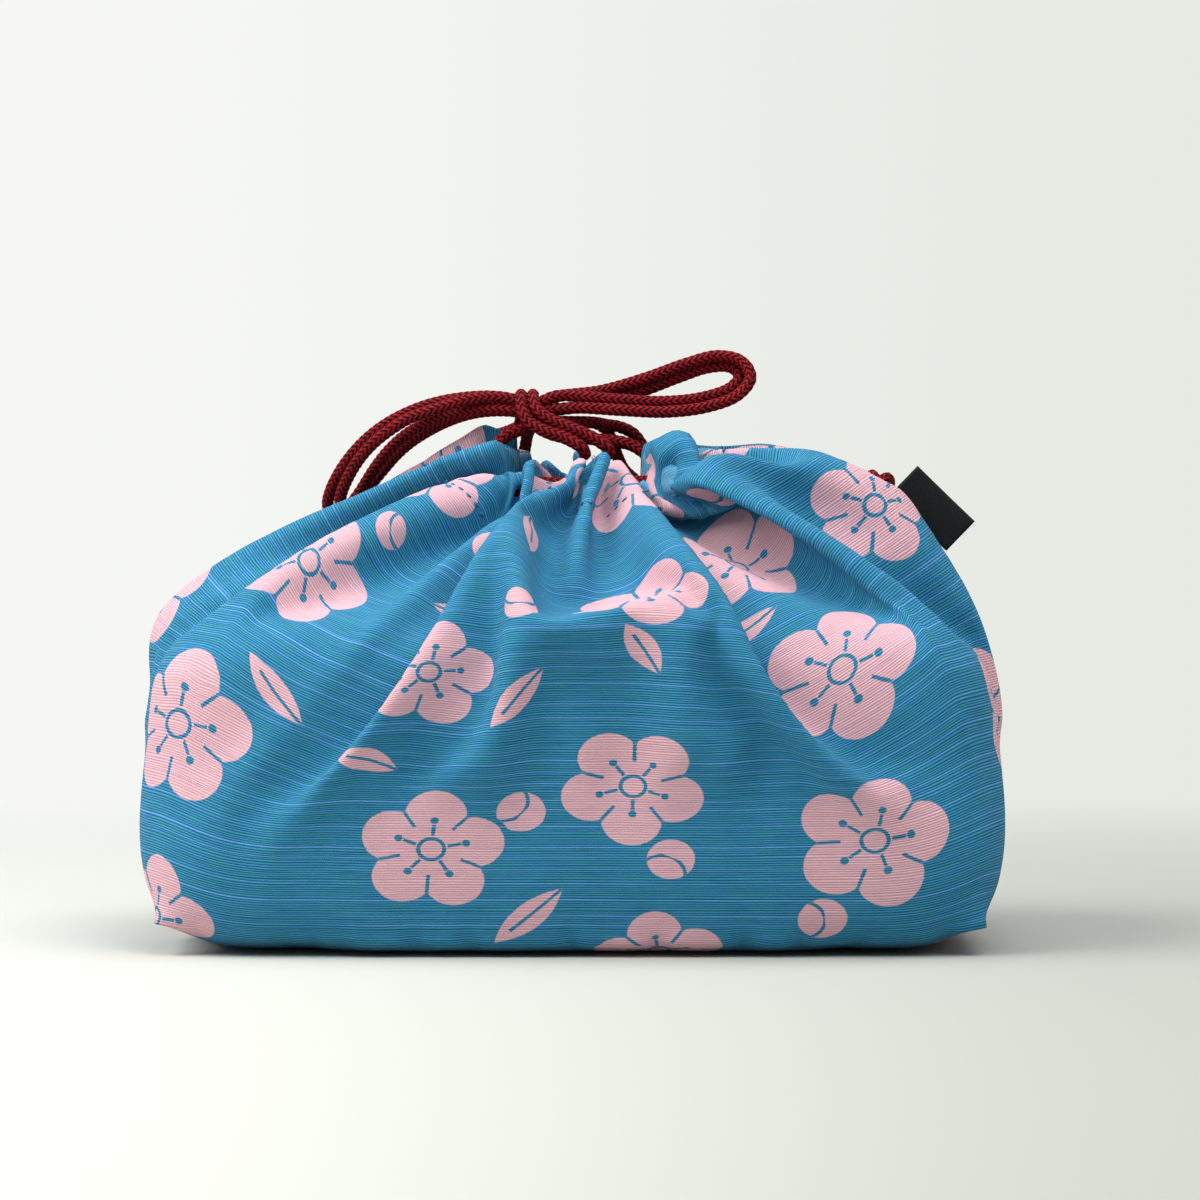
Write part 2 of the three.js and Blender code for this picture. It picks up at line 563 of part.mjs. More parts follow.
addCord("left_cord_casing_run", cordGeometry(casingRoute(true, LEFT_CORD_DEPTH)));
addCord("right_cord_casing_run", cordGeometry(casingRoute(false, RIGHT_CORD_DEPTH)));
addCord("left_lead_front", cordGeometry(leadRoute(-1, false, LEFT_CORD_DEPTH)));
addCord("left_lead_rear", cordGeometry(leadRoute(-1, true, LEFT_CORD_DEPTH)));
addCord("right_lead_front", cordGeometry(leadRoute(1, false, RIGHT_CORD_DEPTH)));
addCord("right_lead_rear", cordGeometry(leadRoute(1, true, RIGHT_CORD_DEPTH)));

addCord("bow_knot", knotGeometry()).position.copy(knot);
addCord("right_loop_outer", cordGeometry(loopRoute(1, [1, false], [0, true], RIGHT_LOOP_OUTER)));
addCord("right_loop_inner", cordGeometry(loopRoute(1, [0, false], [1, true], RIGHT_LOOP_INNER)));
addCord("left_loop_front", cordGeometry(loopRoute(-1, [0, false], [1, false], LEFT_LOOP_FRONT)));
addCord("left_loop_rear", cordGeometry(loopRoute(-1, [0, true], [1, true], LEFT_LOOP_REAR)));
addCord("right_tail_front", cordGeometry(rightTailRoute(false, RIGHT_TAIL_FRONT)));
addCord("right_tail_rear", cordGeometry(rightTailRoute(true, RIGHT_TAIL_REAR)));
addCord("left_tail_front", cordGeometry(leftTailRoute(false, LEFT_TAIL_FRONT)));
addCord("left_tail_rear", cordGeometry(leftTailRoute(true, LEFT_TAIL_REAR)));

const tails = [
  ["right_end_knot", RIGHT_TAIL_FRONT, RIGHT_TAIL_REAR],
  ["left_end_knot", LEFT_TAIL_FRONT, LEFT_TAIL_REAR],
];
for (const [name, front, rear] of tails) {
  const [lastFront, lastRear] = [fromKnot(front).at(-1), fromKnot(rear).at(-1)];
  const heading = lastFront.clone().sub(fromKnot(front).at(-2)).normalize();
  const reach = END_KNOT_RADIUS * 1.5 + END_KNOT_CORD + SEAT_GAP;
  const middle = mixPoint(lastFront, lastRear, 0.5).addScaledVector(heading, reach);
  const mesh = addCord(name, endKnotGeometry());
  mesh.position.copy(middle);
  mesh.quaternion.setFromUnitVectors(V(1, 0, 0), heading);
}

export default bag;
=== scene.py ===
# %% [markdown]
# # A gathered lunch bag, sewn, filled and tied in Blender
# The bag is two printed cotton panels, sewn at the sides and under a boxed base. A lunch box fills it, and two
# braided cords in the hem of its mouth are drawn tight and tied in a bow. Each piece below takes its place from the
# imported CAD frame, in the same metres and the same axes: +X to the right, the front facing -Y, +Z up.

import math

import bmesh
import bpy
from mathutils import Matrix, Vector
from mathutils.bvhtree import BVHTree
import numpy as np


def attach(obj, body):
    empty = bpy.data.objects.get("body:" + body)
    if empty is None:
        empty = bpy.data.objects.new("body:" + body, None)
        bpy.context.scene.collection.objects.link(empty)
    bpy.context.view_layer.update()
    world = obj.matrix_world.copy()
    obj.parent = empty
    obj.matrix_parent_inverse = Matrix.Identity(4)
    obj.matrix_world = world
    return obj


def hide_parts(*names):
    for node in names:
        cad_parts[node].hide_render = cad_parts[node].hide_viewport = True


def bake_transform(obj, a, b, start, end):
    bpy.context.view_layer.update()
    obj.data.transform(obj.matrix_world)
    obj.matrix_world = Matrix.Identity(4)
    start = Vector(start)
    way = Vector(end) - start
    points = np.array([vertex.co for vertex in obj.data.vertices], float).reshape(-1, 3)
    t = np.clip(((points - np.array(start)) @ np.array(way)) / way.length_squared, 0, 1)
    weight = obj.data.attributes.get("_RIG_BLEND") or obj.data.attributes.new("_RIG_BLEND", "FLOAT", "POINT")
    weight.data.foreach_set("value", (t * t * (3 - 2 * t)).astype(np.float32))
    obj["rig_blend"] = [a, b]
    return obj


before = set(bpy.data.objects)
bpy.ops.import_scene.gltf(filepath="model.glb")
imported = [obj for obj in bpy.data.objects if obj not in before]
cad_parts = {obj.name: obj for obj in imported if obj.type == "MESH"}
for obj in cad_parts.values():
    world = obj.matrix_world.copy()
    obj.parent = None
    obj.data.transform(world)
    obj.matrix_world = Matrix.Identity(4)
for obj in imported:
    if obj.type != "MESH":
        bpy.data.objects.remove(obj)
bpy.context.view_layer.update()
scene = bpy.context.scene
MM = 0.001


# %% [markdown]
# ## Camera
# The photograph looks straight at the front, almost level with the middle of the bag, through a long lens. A level
# camera keeps the bag's uprights upright, so the distance and the lens alone set the size in the picture.

# %% Place the camera
CAMERA_AT = Vector((0.0067, -0.8, 0.082))
LENS = 98.0

camera_data = bpy.data.cameras.new("camera")
camera_data.lens = LENS
camera_data.sensor_width = 36.0
camera = bpy.data.objects.new("camera", camera_data)
camera.location = CAMERA_AT
camera.rotation_euler = (math.pi / 2, 0.0, 0.0)
scene.collection.objects.link(camera)
scene.camera = camera
scene.view_settings.view_transform = "Standard"
print("camera", round(CAMERA_AT.length / MM), "mm away, lens", LENS)


# %% [markdown]
# ## Writing materials as sums
# A woven or printed finish is a sum of simple patterns. Adding each Math node by hand hides that sum, so a small
# class stands for one value on its way through the material: arithmetic on it adds the nodes. A second class keeps
# one material, and its one method adds any other node.

# %% A value in a material
class Value:
    """One number on its way through a material. Arithmetic on it adds Math nodes."""

    def __init__(self, finish, socket):
        self.finish = finish
        self.socket = socket

    def math(self, operation, *others):
        sockets = dict(enumerate((self, *others)))
        return self.finish.node("ShaderNodeMath", {"operation": operation}, sockets)

    def __rsub__(self, other):
        return self.finish.node("ShaderNodeMath", {"operation": "SUBTRACT"}, {0: other, 1: self})

    def ease(self, low, high):
        """0 below low, 1 above high, and a smooth step between them."""
        settings = {"interpolation_type": "SMOOTHSTEP"}
        return self.finish.node("ShaderNodeMapRange", settings, {"Value": self, "From Min": low, "From Max": high})


SUMS = {
    "__add__": "ADD", "__radd__": "ADD", "__sub__": "SUBTRACT", "__mul__": "MULTIPLY", "__rmul__": "MULTIPLY",
    "__truediv__": "DIVIDE", "__pow__": "POWER", "__mod__": "FLOORED_MODULO", "__abs__": "ABSOLUTE",
    "__lt__": "LESS_THAN", "__gt__": "GREATER_THAN", "floor": "FLOOR", "sin": "SINE", "cos": "COSINE",
    "root": "SQRT", "angle": "ARCTAN2", "least": "MINIMUM", "most": "MAXIMUM",
}


def sum_with(operation):
    return lambda value, *others: value.math(operation, *others)


for word, operation in SUMS.items():
    setattr(Value, word, sum_with(operation))
print("a value takes", len(SUMS), "operations")


# %% A material
class Finish:
    """One material, or the world's own, and the method that adds its nodes."""

    def __init__(self, name, world=False):
        self.owner = (bpy.data.worlds if world else bpy.data.materials).new(name)
        self.owner.use_nodes = True
        self.tree = self.owner.node_tree
        self.shader = self.tree.nodes["Background" if world else "Principled BSDF"]

    def node(self, kind, settings=None, sockets=None, out=0):
        made = self.tree.nodes.new(kind)
        for key, setting in (settings or {}).items():
            setattr(made, key, setting)
        for key, value in (sockets or {}).items():
            self.join(made.inputs[key], value)
        return Value(self, made.outputs[out])

    def join(self, socket, value):
        if isinstance(value, Value):
            self.tree.links.new(value.socket, socket)
        else:
            socket.default_value = value

    def set(self, **sockets):
        for key, value in sockets.items():
            self.join(self.shader.inputs[key.replace("_", " ")], value)

    def show(self, shader, output):
        self.tree.links.new(shader.socket, self.tree.nodes[output].inputs["Surface"])

    def parts(self, vector):
        apart = self.node("ShaderNodeSeparateXYZ", None, {0: vector})
        return [Value(self, socket) for socket in apart.socket.node.outputs]

    def place(self, uv):
        """The two coordinates of the piece's own flat layout, in millimetres."""
        across, along, _ = self.parts(self.node("ShaderNodeUVMap", {"uv_map": uv}))
        return across * 1000.0, along * 1000.0

    def point(self, x, y, z=0.0):
        return self.node("ShaderNodeCombineXYZ", None, {0: x, 1: y, 2: z})

    def noise(self, x, y, z=0.0, detail=2.0, rough=0.5):
        sockets = {"Vector": self.point(x, y, z), "Scale": 1.0, "Detail": detail, "Roughness": rough}
        return self.node("ShaderNodeTexNoise", {"noise_dimensions": "3D"}, sockets)

    def chance(self, x, y, z=0.0):
        """Three chance numbers from 0 to 1 that keep to one cell of a pattern."""
        settings = {"noise_dimensions": "3D"}
        return self.parts(self.node("ShaderNodeTexWhiteNoise", settings, {"Vector": self.point(x, y, z)}, out=1))

    def blend(self, share, low, high):
        """A colour between two others."""
        settings = {"data_type": "RGBA"}
        return self.node("ShaderNodeMix", settings, {0: share, 6: low, 7: high}, out=2)

    def bump(self, height, depth, strength=1.0):
        """A relief of the given depth in millimetres."""
        sockets = {"Strength": strength, "Distance": depth * MM, "Height": height}
        return self.node("ShaderNodeBump", None, sockets)


def colour(red, green, blue):
    """A colour as written for a screen, from 0 to 255, as the linear light Blender works in."""
    def linear(part):
        share = part / 255.0
        return share / 12.92 if share <= 0.04045 else ((share + 0.055) / 1.055) ** 2.4

    return (linear(red), linear(green), linear(blue), 1.0)


print("white is", colour(255, 255, 255), "and middle grey is", round(colour(128, 128, 128)[0], 3))


# %% [markdown]
# ## Sewing the bag flat-sided
# The cloth starts as it comes from the sewing machine: a flat base and four straight walls. A grid is the base, and
# its edge is extruded upwards row by row, which keeps every square of the mesh the same size as the next. That even
# mesh matters, because the folds come from the simulation that follows, and they run truest on even squares.
# Extruding leaves points, edges and faces in a chance order, so they are put in one set order, and the same folds
# come out of every run.

# %% Sizes of the sewn bag
HALF_LENGTH, HALF_DEPTH, RISE = 97.0, 48.5, 174.0
PITCH, CASING, SLIT, FLOOR_GAP = 3.4, 20.0, 16.0, 1.0
TINY = 1e-3

ROWS = round(RISE / PITCH)
ROW = RISE / ROWS
PANEL_HALF = HALF_LENGTH + HALF_DEPTH
HALF_ROUND = 2 * PANEL_HALF


def way_round(x, y):
    """How far a point of the wall lies from the right side seam, over the front."""
    if abs(x - HALF_LENGTH) < TINY:
        return -y if y <= 0 else 2 * HALF_ROUND - y
    if abs(y + HALF_DEPTH) < TINY:
        return HALF_DEPTH + HALF_LENGTH - x
    if abs(x + HALF_LENGTH) < TINY:
        return HALF_DEPTH + 2 * HALF_LENGTH + HALF_DEPTH + y
    return 3 * HALF_DEPTH + 2 * HALF_LENGTH + HALF_LENGTH + x


print("walls:", ROWS, "rows of", round(ROW, 2), "mm,", 2 * HALF_ROUND, "mm round")


# %% Sew it
def sew_bag():
    bag = bmesh.new()
    across = 2 * round(HALF_LENGTH / PITCH)
    deep = 2 * round(HALF_DEPTH / PITCH)
    bmesh.ops.create_grid(bag, x_segments=across, y_segments=deep, size=1.0)
    bmesh.ops.scale(bag, vec=(HALF_LENGTH, HALF_DEPTH, 1.0), verts=bag.verts)
    rim = [edge for edge in bag.edges if edge.is_boundary]
    for _ in range(ROWS):
        raised = bmesh.ops.extrude_edge_only(bag, edges=rim)["geom"]
        verts = [item for item in raised if isinstance(item, bmesh.types.BMVert)]
        rim = [item for item in raised if isinstance(item, bmesh.types.BMEdge)]
        bmesh.ops.translate(bag, vec=(0.0, 0.0, ROW), verts=verts)
    bmesh.ops.recalc_face_normals(bag, faces=bag.faces)

    def at_slit(vert):
        at_seam = abs(abs(vert.co.x) - HALF_LENGTH) < TINY and abs(vert.co.y) < TINY
        return at_seam and vert.co.z > RISE - SLIT

    slits = [edge for edge in bag.edges if all(at_slit(vert) for vert in edge.verts)]
    bmesh.ops.split_edges(bag, edges=slits)
    return bag


def in_order(bag):
    """The same bag, with its points, edges and faces in one set order, row by row from the base up."""
    def place(vert):
        x, y, z = (round(value, 2) for value in vert.co)
        return z, y, x, sum(face.calc_center_median().y for face in vert.link_faces) > 0.0

    points = sorted(bag.verts, key=place)
    number = {vert: count for count, vert in enumerate(points)}
    rounds = []
    for face in bag.faces:
        corners = [number[vert] for vert in face.verts]
        first = corners.index(min(corners))
        rounds.append(corners[first:] + corners[:first])
    mesh = bpy.data.meshes.new("sewn_bag")
    mesh.from_pydata([vert.co for vert in points], [], sorted(rounds))
    bag.free()
    ordered = bmesh.new()
    ordered.from_mesh(mesh)
    bpy.data.meshes.remove(mesh)
    ordered.verts.index_update()
    ordered.edges.sort(key=lambda edge: edge.verts[0].index * len(points) + edge.verts[1].index)
    return ordered


def mark_places(bag):
    """Each point keeps its place in the sewn bag, and each face its panel."""
    layers = [bag.verts.layers.float.new("sewn_" + axis) for axis in "xyz"]
    for vert in bag.verts:
        for layer, value in zip(layers, vert.co):
            vert[layer] = value
    base_layer = bag.faces.layers.int.new("base")
    back_layer = bag.faces.layers.int.new("back")
    for face in bag.faces:
        face[base_layer] = int(all(vert.co.z < TINY for vert in face.verts))
        face[back_layer] = int(face.calc_center_median().y > 0)


bag = in_order(sew_bag())
mark_places(bag)
sewn = [vert.co.copy() for vert in bag.verts]
print("sewn bag:", len(bag.verts), "points,", ROWS, "rows up each wall")


# %% [markdown]
# ## The shape the filled bag settles to
# A lunch box keeps the base flat and the lower walls smooth. Their form is the one the CAD solids have: a rounded
# rectangle that swells to a belly and narrows again to the shoulder, with the two ends of the base lifted off the
# table. The lower cloth is held to that form, and the cloth above it is left to fold as it likes.

# %% Form of the filled body
BAG_LENGTH, BAG_DEPTH, BELLY_HEIGHT = 205.0, 112.0, 26.0
BASE_LENGTH, BASE_DEPTH, BASE_CORNER = 197.0, 102.0, 20.0
SEAT_SHARE, EDGE_RISE, CORNER_LIFT, LIFT_FROM = 0.9, 0.2, 7.0, 0.72
SHOULDER_HEIGHT, SHOULDER_LENGTH, SHOULDER_DEPTH, SHOULDER_CORNER = 73.0, 196.0, 106.0, 40.0


def mix(low, high, share):
    return low + (high - low) * share


def ease(share):
    share = min(1.0, max(0.0, share))
    return share * share * (3.0 - 2.0 * share)


def ring(u, length, depth, corner):
    """The front half of a rounded rectangle: u is 0 at the right seam and 1 at the left."""
    side = depth / 2 - corner
    arc = math.pi / 2 * corner
    half = side + arc + length / 2 - corner
    way = 2 * half * min(u, 1 - u)
    sign = -1 if u > 0.5 else 1
    if way < side:
        return sign * length / 2, -way
    if way > side + arc:
        return sign * (half - way), -depth / 2
    angle = (way - side) / corner
    return sign * (length / 2 - corner * (1 - math.cos(angle))), -side - corner * math.sin(angle)


def edge_height(u):
    x, _ = ring(u, BASE_LENGTH, BASE_DEPTH, BASE_CORNER)
    return EDGE_RISE + CORNER_LIFT * ease((abs(x) / (BASE_LENGTH / 2) - LIFT_FROM) / (1 - LIFT_FROM))


def base_point(u, row):
    x, y = ring(u, BASE_LENGTH, BASE_DEPTH, BASE_CORNER)
    rise = max(0.0, (row - SEAT_SHARE) / (1 - SEAT_SHARE)) ** 2
    return Vector((x * row, y * row, edge_height(u) * rise))


def wall_point(u, share):
    belly = BELLY_HEIGHT / SHOULDER_HEIGHT
    below = share < belly
    away = (1 - share / belly if below else (share - belly) / (1 - belly)) ** 2
    length = mix(BAG_LENGTH, BASE_LENGTH if below else SHOULDER_LENGTH, away)
    depth = mix(BAG_DEPTH, BASE_DEPTH if below else SHOULDER_DEPTH, away)
    x, y = ring(u, length, depth, mix(BASE_CORNER, SHOULDER_CORNER, share))
    return Vector((x, y, mix(edge_height(u), SHOULDER_HEIGHT, share)))


print("belly:", BAG_LENGTH, "x", BAG_DEPTH, "mm,", BELLY_HEIGHT, "mm above the table")


# %% Where the lower cloth is held, and how firmly
HOLD_FROM, HOLD_TO, GRIP = 12.0, 60.0, 0.9
BASE_GIVE, GIVE_FROM, GIVE_OVER = 0.4, 0.7, 0.3


def held_body(points):
    places, grips = {}, {}
    for index, (x, y, z) in enumerate(points):
        turned = -1.0 if y > 1e-6 else 1.0
        if z < TINY:
            row = max(abs(x) / HALF_LENGTH, abs(y) / HALF_DEPTH, 1e-6)
            edge_x = max(-HALF_LENGTH, min(HALF_LENGTH, x / row))
            edge_y = -min(HALF_DEPTH, abs(y) / row)
            if abs(x) / HALF_LENGTH >= row - 1e-9:
                edge_x = math.copysign(HALF_LENGTH, x)
            place = base_point(way_round(edge_x, edge_y) / HALF_ROUND, row)
            grips[index] = 1.0 - BASE_GIVE * ease((row - GIVE_FROM) / GIVE_OVER)
        elif z < HOLD_TO:
            place = wall_point(way_round(x, -abs(y)) / HALF_ROUND, z / (SHOULDER_HEIGHT + 1.0))
            grips[index] = GRIP * (1.0 - ease((z - HOLD_FROM) / (HOLD_TO - HOLD_FROM)))
        else:
            continue
        places[index] = Vector((place.x, place.y * turned, place.z + FLOOR_GAP))
    return places, grips


body_places, body_grips = held_body(sewn)
print("held by the filling:", len(body_places), "points")


# %% [markdown]
# ## Drawing the mouth shut
# The cords gather the hem into pleats. In the simulation a pleat is the cloth between two held points that are moved
# close together, so a list of pleat lengths, uneven as real ones are, decides where the folds begin. The held
# points travel from the open mouth to a small ring over the lunch box, and the cloth between them folds by itself.

# %% The gathered ring
FRONT_PLEATS = [26, 34, 40, 48, 27, 22, 25, 22, 28, 26, 28]
BACK_PLEATS = [30, 25, 35, 28, 24, 33, 29, 36, 26, 31, 27]
MOUTH_HALF_LENGTH, MOUTH_HALF_DEPTH, MOUTH_CORNER, MOUTH_MIDDLE = 23.75, 13.5, 13.0, 2.25
MOUTH_HEIGHT, EAR_RISE = 110.0, 1.0
CORD_DEPTHS = (6.0, 12.0)
LOWER_WIDER, LOWER_DEEPER, LOWER_DROP, EAR_LEVEL = 3.5, 2.5, 5.0, 0.7
HELD_WITHIN = 0.51 * PITCH


def whole_ring(way, half_length, half_depth):
    """A point of the gathered ring, by the way round the sewn bag that is drawn to it."""
    share = way / HALF_ROUND
    x, y = ring(share % 1.0, 2 * half_length, 2 * half_depth, MOUTH_CORNER)
    turn = 1.0 if share < 1.0 else -1.0
    return turn * x + MOUTH_MIDDLE, turn * y


def pleat_ends(lengths, start):
    total, ends = 0.0, []
    for length in lengths:
        total += length
        ends.append(start + total / sum(lengths) * HALF_ROUND)
    return ends


all_ends = pleat_ends(FRONT_PLEATS, 0.0) + pleat_ends(BACK_PLEATS, HALF_ROUND)
pleats = [end % (2 * HALF_ROUND) for end in all_ends]


def held_mouth(points):
    places = {}
    for step, depth in enumerate(CORD_DEPTHS):
        height = round((RISE - depth) / ROW) * ROW
        for index, (x, y, z) in enumerate(points):
            if abs(z - height) > 0.1:
                continue
            way = way_round(x, y)
            apart = min(abs((end - way + HALF_ROUND) % (2 * HALF_ROUND) - HALF_ROUND) for end in pleats)
            if apart > HELD_WITHIN:
                continue
            half_length, half_depth = MOUTH_HALF_LENGTH + LOWER_WIDER * step, MOUTH_HALF_DEPTH + LOWER_DEEPER * step
            ear = math.cos(math.pi * way / HALF_ROUND) ** 2
            height_here = MOUTH_HEIGHT + EAR_RISE * ear - LOWER_DROP * step * (1.0 - EAR_LEVEL * ear)
            places[index] = Vector((*whole_ring(way, half_length, half_depth), height_here))
    return places


mouth_places = held_mouth(sewn)
print("held by the cords:", len(mouth_places), "points in", len(pleats), "pleats")


# %% [markdown]
# ## What fills it
# Plain shapes stand in for the contents while the cloth moves: the lunch box, a rounded heap on top of it, a soft
# bundle under each ear, fuller at the right as in the photograph, and a plug that keeps the mouth from closing on
# itself. They are taken away afterwards.

# %% Fillings for the simulation
SIM = 20.0 * MM


def filling(name, place):
    shape = bmesh.new()
    bmesh.ops.create_icosphere(shape, subdivisions=5, radius=1.0)
    for vert in shape.verts:
        vert.co = place(vert.co) * SIM
    mesh = bpy.data.meshes.new(name)
    shape.to_mesh(mesh)
    shape.free()
    solid = bpy.data.objects.new(name, mesh)
    scene.collection.objects.link(solid)
    solid.modifiers.new("Collision", "COLLISION")
    solid.collision.thickness_outer = 0.02
    solid.collision.thickness_inner = 0.1
    solid.collision.cloth_friction = 5.0
    return solid


def boxy(half_length, half_depth, half_height, middle, round_plan=6.0, round_side=5.0):
    """A ball drawn out to a soft-edged box."""
    def place(at):
        plan = (abs(at.x) ** round_plan + abs(at.y) ** round_plan) ** (round_side / round_plan)
        out = (plan + abs(at.z) ** round_side) ** (-1.0 / round_side)
        return middle + Vector((at.x * half_length, at.y * half_depth, at.z * half_height)) * out

    return place


def ball(half_length, half_depth, half_height, middle):
    return lambda at: middle + Vector((at.x * half_length, at.y * half_depth, at.z * half_height))


fillings = [
    filling("lunch_box", boxy(98.5, 52.5, 38.5, Vector((0, 0, 42)))),
    filling("heap", ball(84.0, 46.0, 36.0, Vector((0, 0, 62)))),
    filling("right_bundle", ball(44.0, 22.0, 29.0, Vector((50, 0, 82)))),
    filling("left_bundle", ball(42.0, 24.0, 24.5, Vector((-60, 0, 70)))),
    filling("mouth_plug", boxy(21.5, 8.5, 65.0, Vector((2, 0, 157)), 2.0, 12.0)),
]
print("fillings:", ", ".join(solid.name for solid in fillings))


# %% [markdown]
# ## The simulation
# Blender's cloth works best on things a few units large, so the bag is enlarged for it. Its rest lengths come from
# the sewn shape, while it starts a little wider, clear of the filling, and shrinks on to it. The front, the back and
# the left side are cut slightly short, which takes up cloth that the real bag loses in hidden tucks behind the bow.

# %% Draw it shut
FRAMES, DRAWN = 60, 40
SHORT_LEFT, SHORT_FACE = 0.085, 0.185
LEFT_FROM, LEFT_OVER = 0.2, 0.8
GROW = (1.08, 1.18)
SOFT_GRAVITY = (0.0, 0.0, -3.0)


def cut_length(point):
    """The share of its height that the wall keeps at this place."""
    if point.z < TINY:
        return 1.0
    left = min(1.0, max(0.0, (-point.x / HALF_LENGTH - LEFT_FROM) / LEFT_OVER))
    face = abs(point.y) / HALF_DEPTH * (1.0 - abs(point.x / HALF_LENGTH) ** 4)
    return 1.0 - SHORT_LEFT * left ** 2 - SHORT_FACE * face


def draw_shut(bag, points):
    mesh = bpy.data.meshes.new("drawn_cloth")
    bag.to_mesh(mesh)
    cloth = bpy.data.objects.new("drawn_cloth", mesh)
    scene.collection.objects.link(cloth)
    cut = [Vector((point.x, point.y, FLOOR_GAP + point.z * cut_length(point))) for point in points]
    for vert, point in zip(mesh.vertices, cut):
        vert.co = Vector((point.x * GROW[0], point.y * GROW[1], point.z)) * SIM
    cloth.shape_key_add(name="wide")
    sewn_key = cloth.shape_key_add(name="sewn")
    for spot, point in zip(sewn_key.data, cut):
        spot.co = point * SIM
    shut_key = cloth.shape_key_add(name="shut")
    for index, place in {**body_places, **mouth_places}.items():
        shut_key.data[index].co = place * SIM
    for frame_number, value in ((1, 0.0), (DRAWN, 1.0)):
        shut_key.value = value
        shut_key.keyframe_insert("value", frame=frame_number)
    held = cloth.vertex_groups.new(name="held")
    for index, grip in {**body_grips, **dict.fromkeys(mouth_places, 1.0)}.items():
        held.add([index], grip, "REPLACE")
    weave_like(cloth, sewn_key)
    scene.gravity = SOFT_GRAVITY
    scene.frame_start, scene.frame_end = 1, FRAMES
    for frame_number in range(1, FRAMES + 1):
        scene.frame_set(frame_number)
    drawn = cloth.evaluated_get(bpy.context.evaluated_depsgraph_get())
    shape = [vert.co / SIM for vert in drawn.data.vertices]
    scene.frame_set(1)
    bpy.data.objects.remove(cloth)
    bpy.data.meshes.remove(mesh)
    return shape


def weave_like(cloth, rest):
    """Cotton of middle weight: it hardly stretches, and bends in broad folds."""
    modifier = cloth.modifiers.new("Cloth", "CLOTH")
    modifier.point_cache.frame_end = FRAMES + 1
    settings = modifier.settings
    settings.quality = 6
    settings.mass = 0.1
    settings.tension_stiffness = settings.compression_stiffness = 25.0
    settings.shear_stiffness = 8.0
    settings.bending_stiffness = 4.0
    settings.tension_damping = settings.compression_damping = settings.shear_damping = 8.0
    settings.air_damping = 2.0
    settings.rest_shape_key = rest
    settings.vertex_group_mass = "held"
    settings.pin_stiffness = 1.0
    touch = modifier.collision_settings
    touch.collision_quality = 3
    touch.distance_min = 0.012
    touch.use_self_collision = True
    touch.self_distance_min = 0.018
    touch.self_friction = 2.0


drawn_shape = draw_shut(bag, sewn)
for solid in fillings:
    bpy.data.objects.remove(solid)
for action in list(bpy.data.actions):
    bpy.data.actions.remove(action)
for vert, place in zip(bag.verts, drawn_shape):
    vert.co = place
lows = [min(place[axis] for place in drawn_shape) for axis in range(3)]
highs = [max(place[axis] for place in drawn_shape) for axis in range(3)]
print("drawn shut:", [round(v, 1) for v in lows], [round(v, 1) for v in highs])


# %% [markdown]
# ## Seams and stitch lines
# Two cords will run inside the casing, so valleys that cut through their place are pushed out again. A seam is a
# shallow valley where two panels meet, and a stitch line a finer one. Both are pressed into the cloth after it has
# settled. The lower wall is smoothed first, as cotton pulled over a box lies smooth.

# %% Press the seams in
SEAM_PRESS, STITCH_PRESS, RIM_CREASE = 1.3, 0.55, 0.7
SMOOTH_BELOW, SMOOTH_TIMES = 45.0, 4
TABLE_GAP = 0.05
X, Y, Z = (bag.verts.layers.float["sewn_" + axis] for axis in "xyz")
HEM_ROWS = round(CASING / ROW)
STITCH_ROW = ROWS - HEM_ROWS


def row_of(vert):
    return round(vert[Z] / ROW)


def press_seams(bag):
    base = bag.faces.layers.int["base"]
    crease = bag.edges.layers.float.new("crease_edge")
    rim = set()
    for edge in bag.edges:
        if len({face[base] for face in edge.link_faces}) == 2:
            edge[crease] = RIM_CREASE
            rim.update(edge.verts)
    lower = [vert for vert in bag.verts if vert[Z] < SMOOTH_BELOW and vert not in rim]
    for _ in range(SMOOTH_TIMES):
        bmesh.ops.smooth_vert(bag, verts=lower, factor=0.5, use_axis_x=True, use_axis_y=True, use_axis_z=True)
    bag.normal_update()
    presses = {}
    for vert in bag.verts:
        side_seam = abs(abs(vert[X]) - HALF_LENGTH) < TINY and abs(vert[Y]) < TINY
        if side_seam and TINY < vert[Z] <= RISE - SLIT:
            presses[vert] = SEAM_PRESS
        elif vert[Z] > TINY and row_of(vert) == STITCH_ROW:
            presses[vert] = STITCH_PRESS
    moves = {vert: vert.normal * -press for vert, press in presses.items()}
    for vert, move in moves.items():
        vert.co += move
    lowest = min(vert.co.z for vert in bag.verts)
    bmesh.ops.translate(bag, vec=(0.0, 0.0, TABLE_GAP - lowest), verts=bag.verts)
    bag.normal_update()


LEFT_RING, RIGHT_RING = (20.0, 11.5), (22.8, 13.6)
LEFT_HEIGHT, RIGHT_HEIGHT = 110.0, 105.5
CORD_ROOM, CORD_BAND, BAND_FADE = 2.5, 1.5, 3.0


def clear_of_cords(bag):
    """The outer layer of the casing lies outside the cords that run in it, so deep valleys are pushed back out."""
    for vert in bag.verts:
        if vert[Z] < RISE - CASING:
            continue
        for (half_length, half_depth), height in ((LEFT_RING, LEFT_HEIGHT), (RIGHT_RING, RIGHT_HEIGHT)):
            straight = half_length - half_depth
            middle_x = min(max(vert.co.x, MOUTH_MIDDLE - straight), MOUTH_MIDDLE + straight)
            out = Vector((vert.co.x - middle_x, vert.co.y, 0.0))
            near = 1.0 - ease((abs(vert.co.z - height) - CORD_BAND) / BAND_FADE)
            short = half_depth + CORD_ROOM - out.length
            if short > 0.0 and out.length > 0.1:
                vert.co += out.normalized() * (short * near)


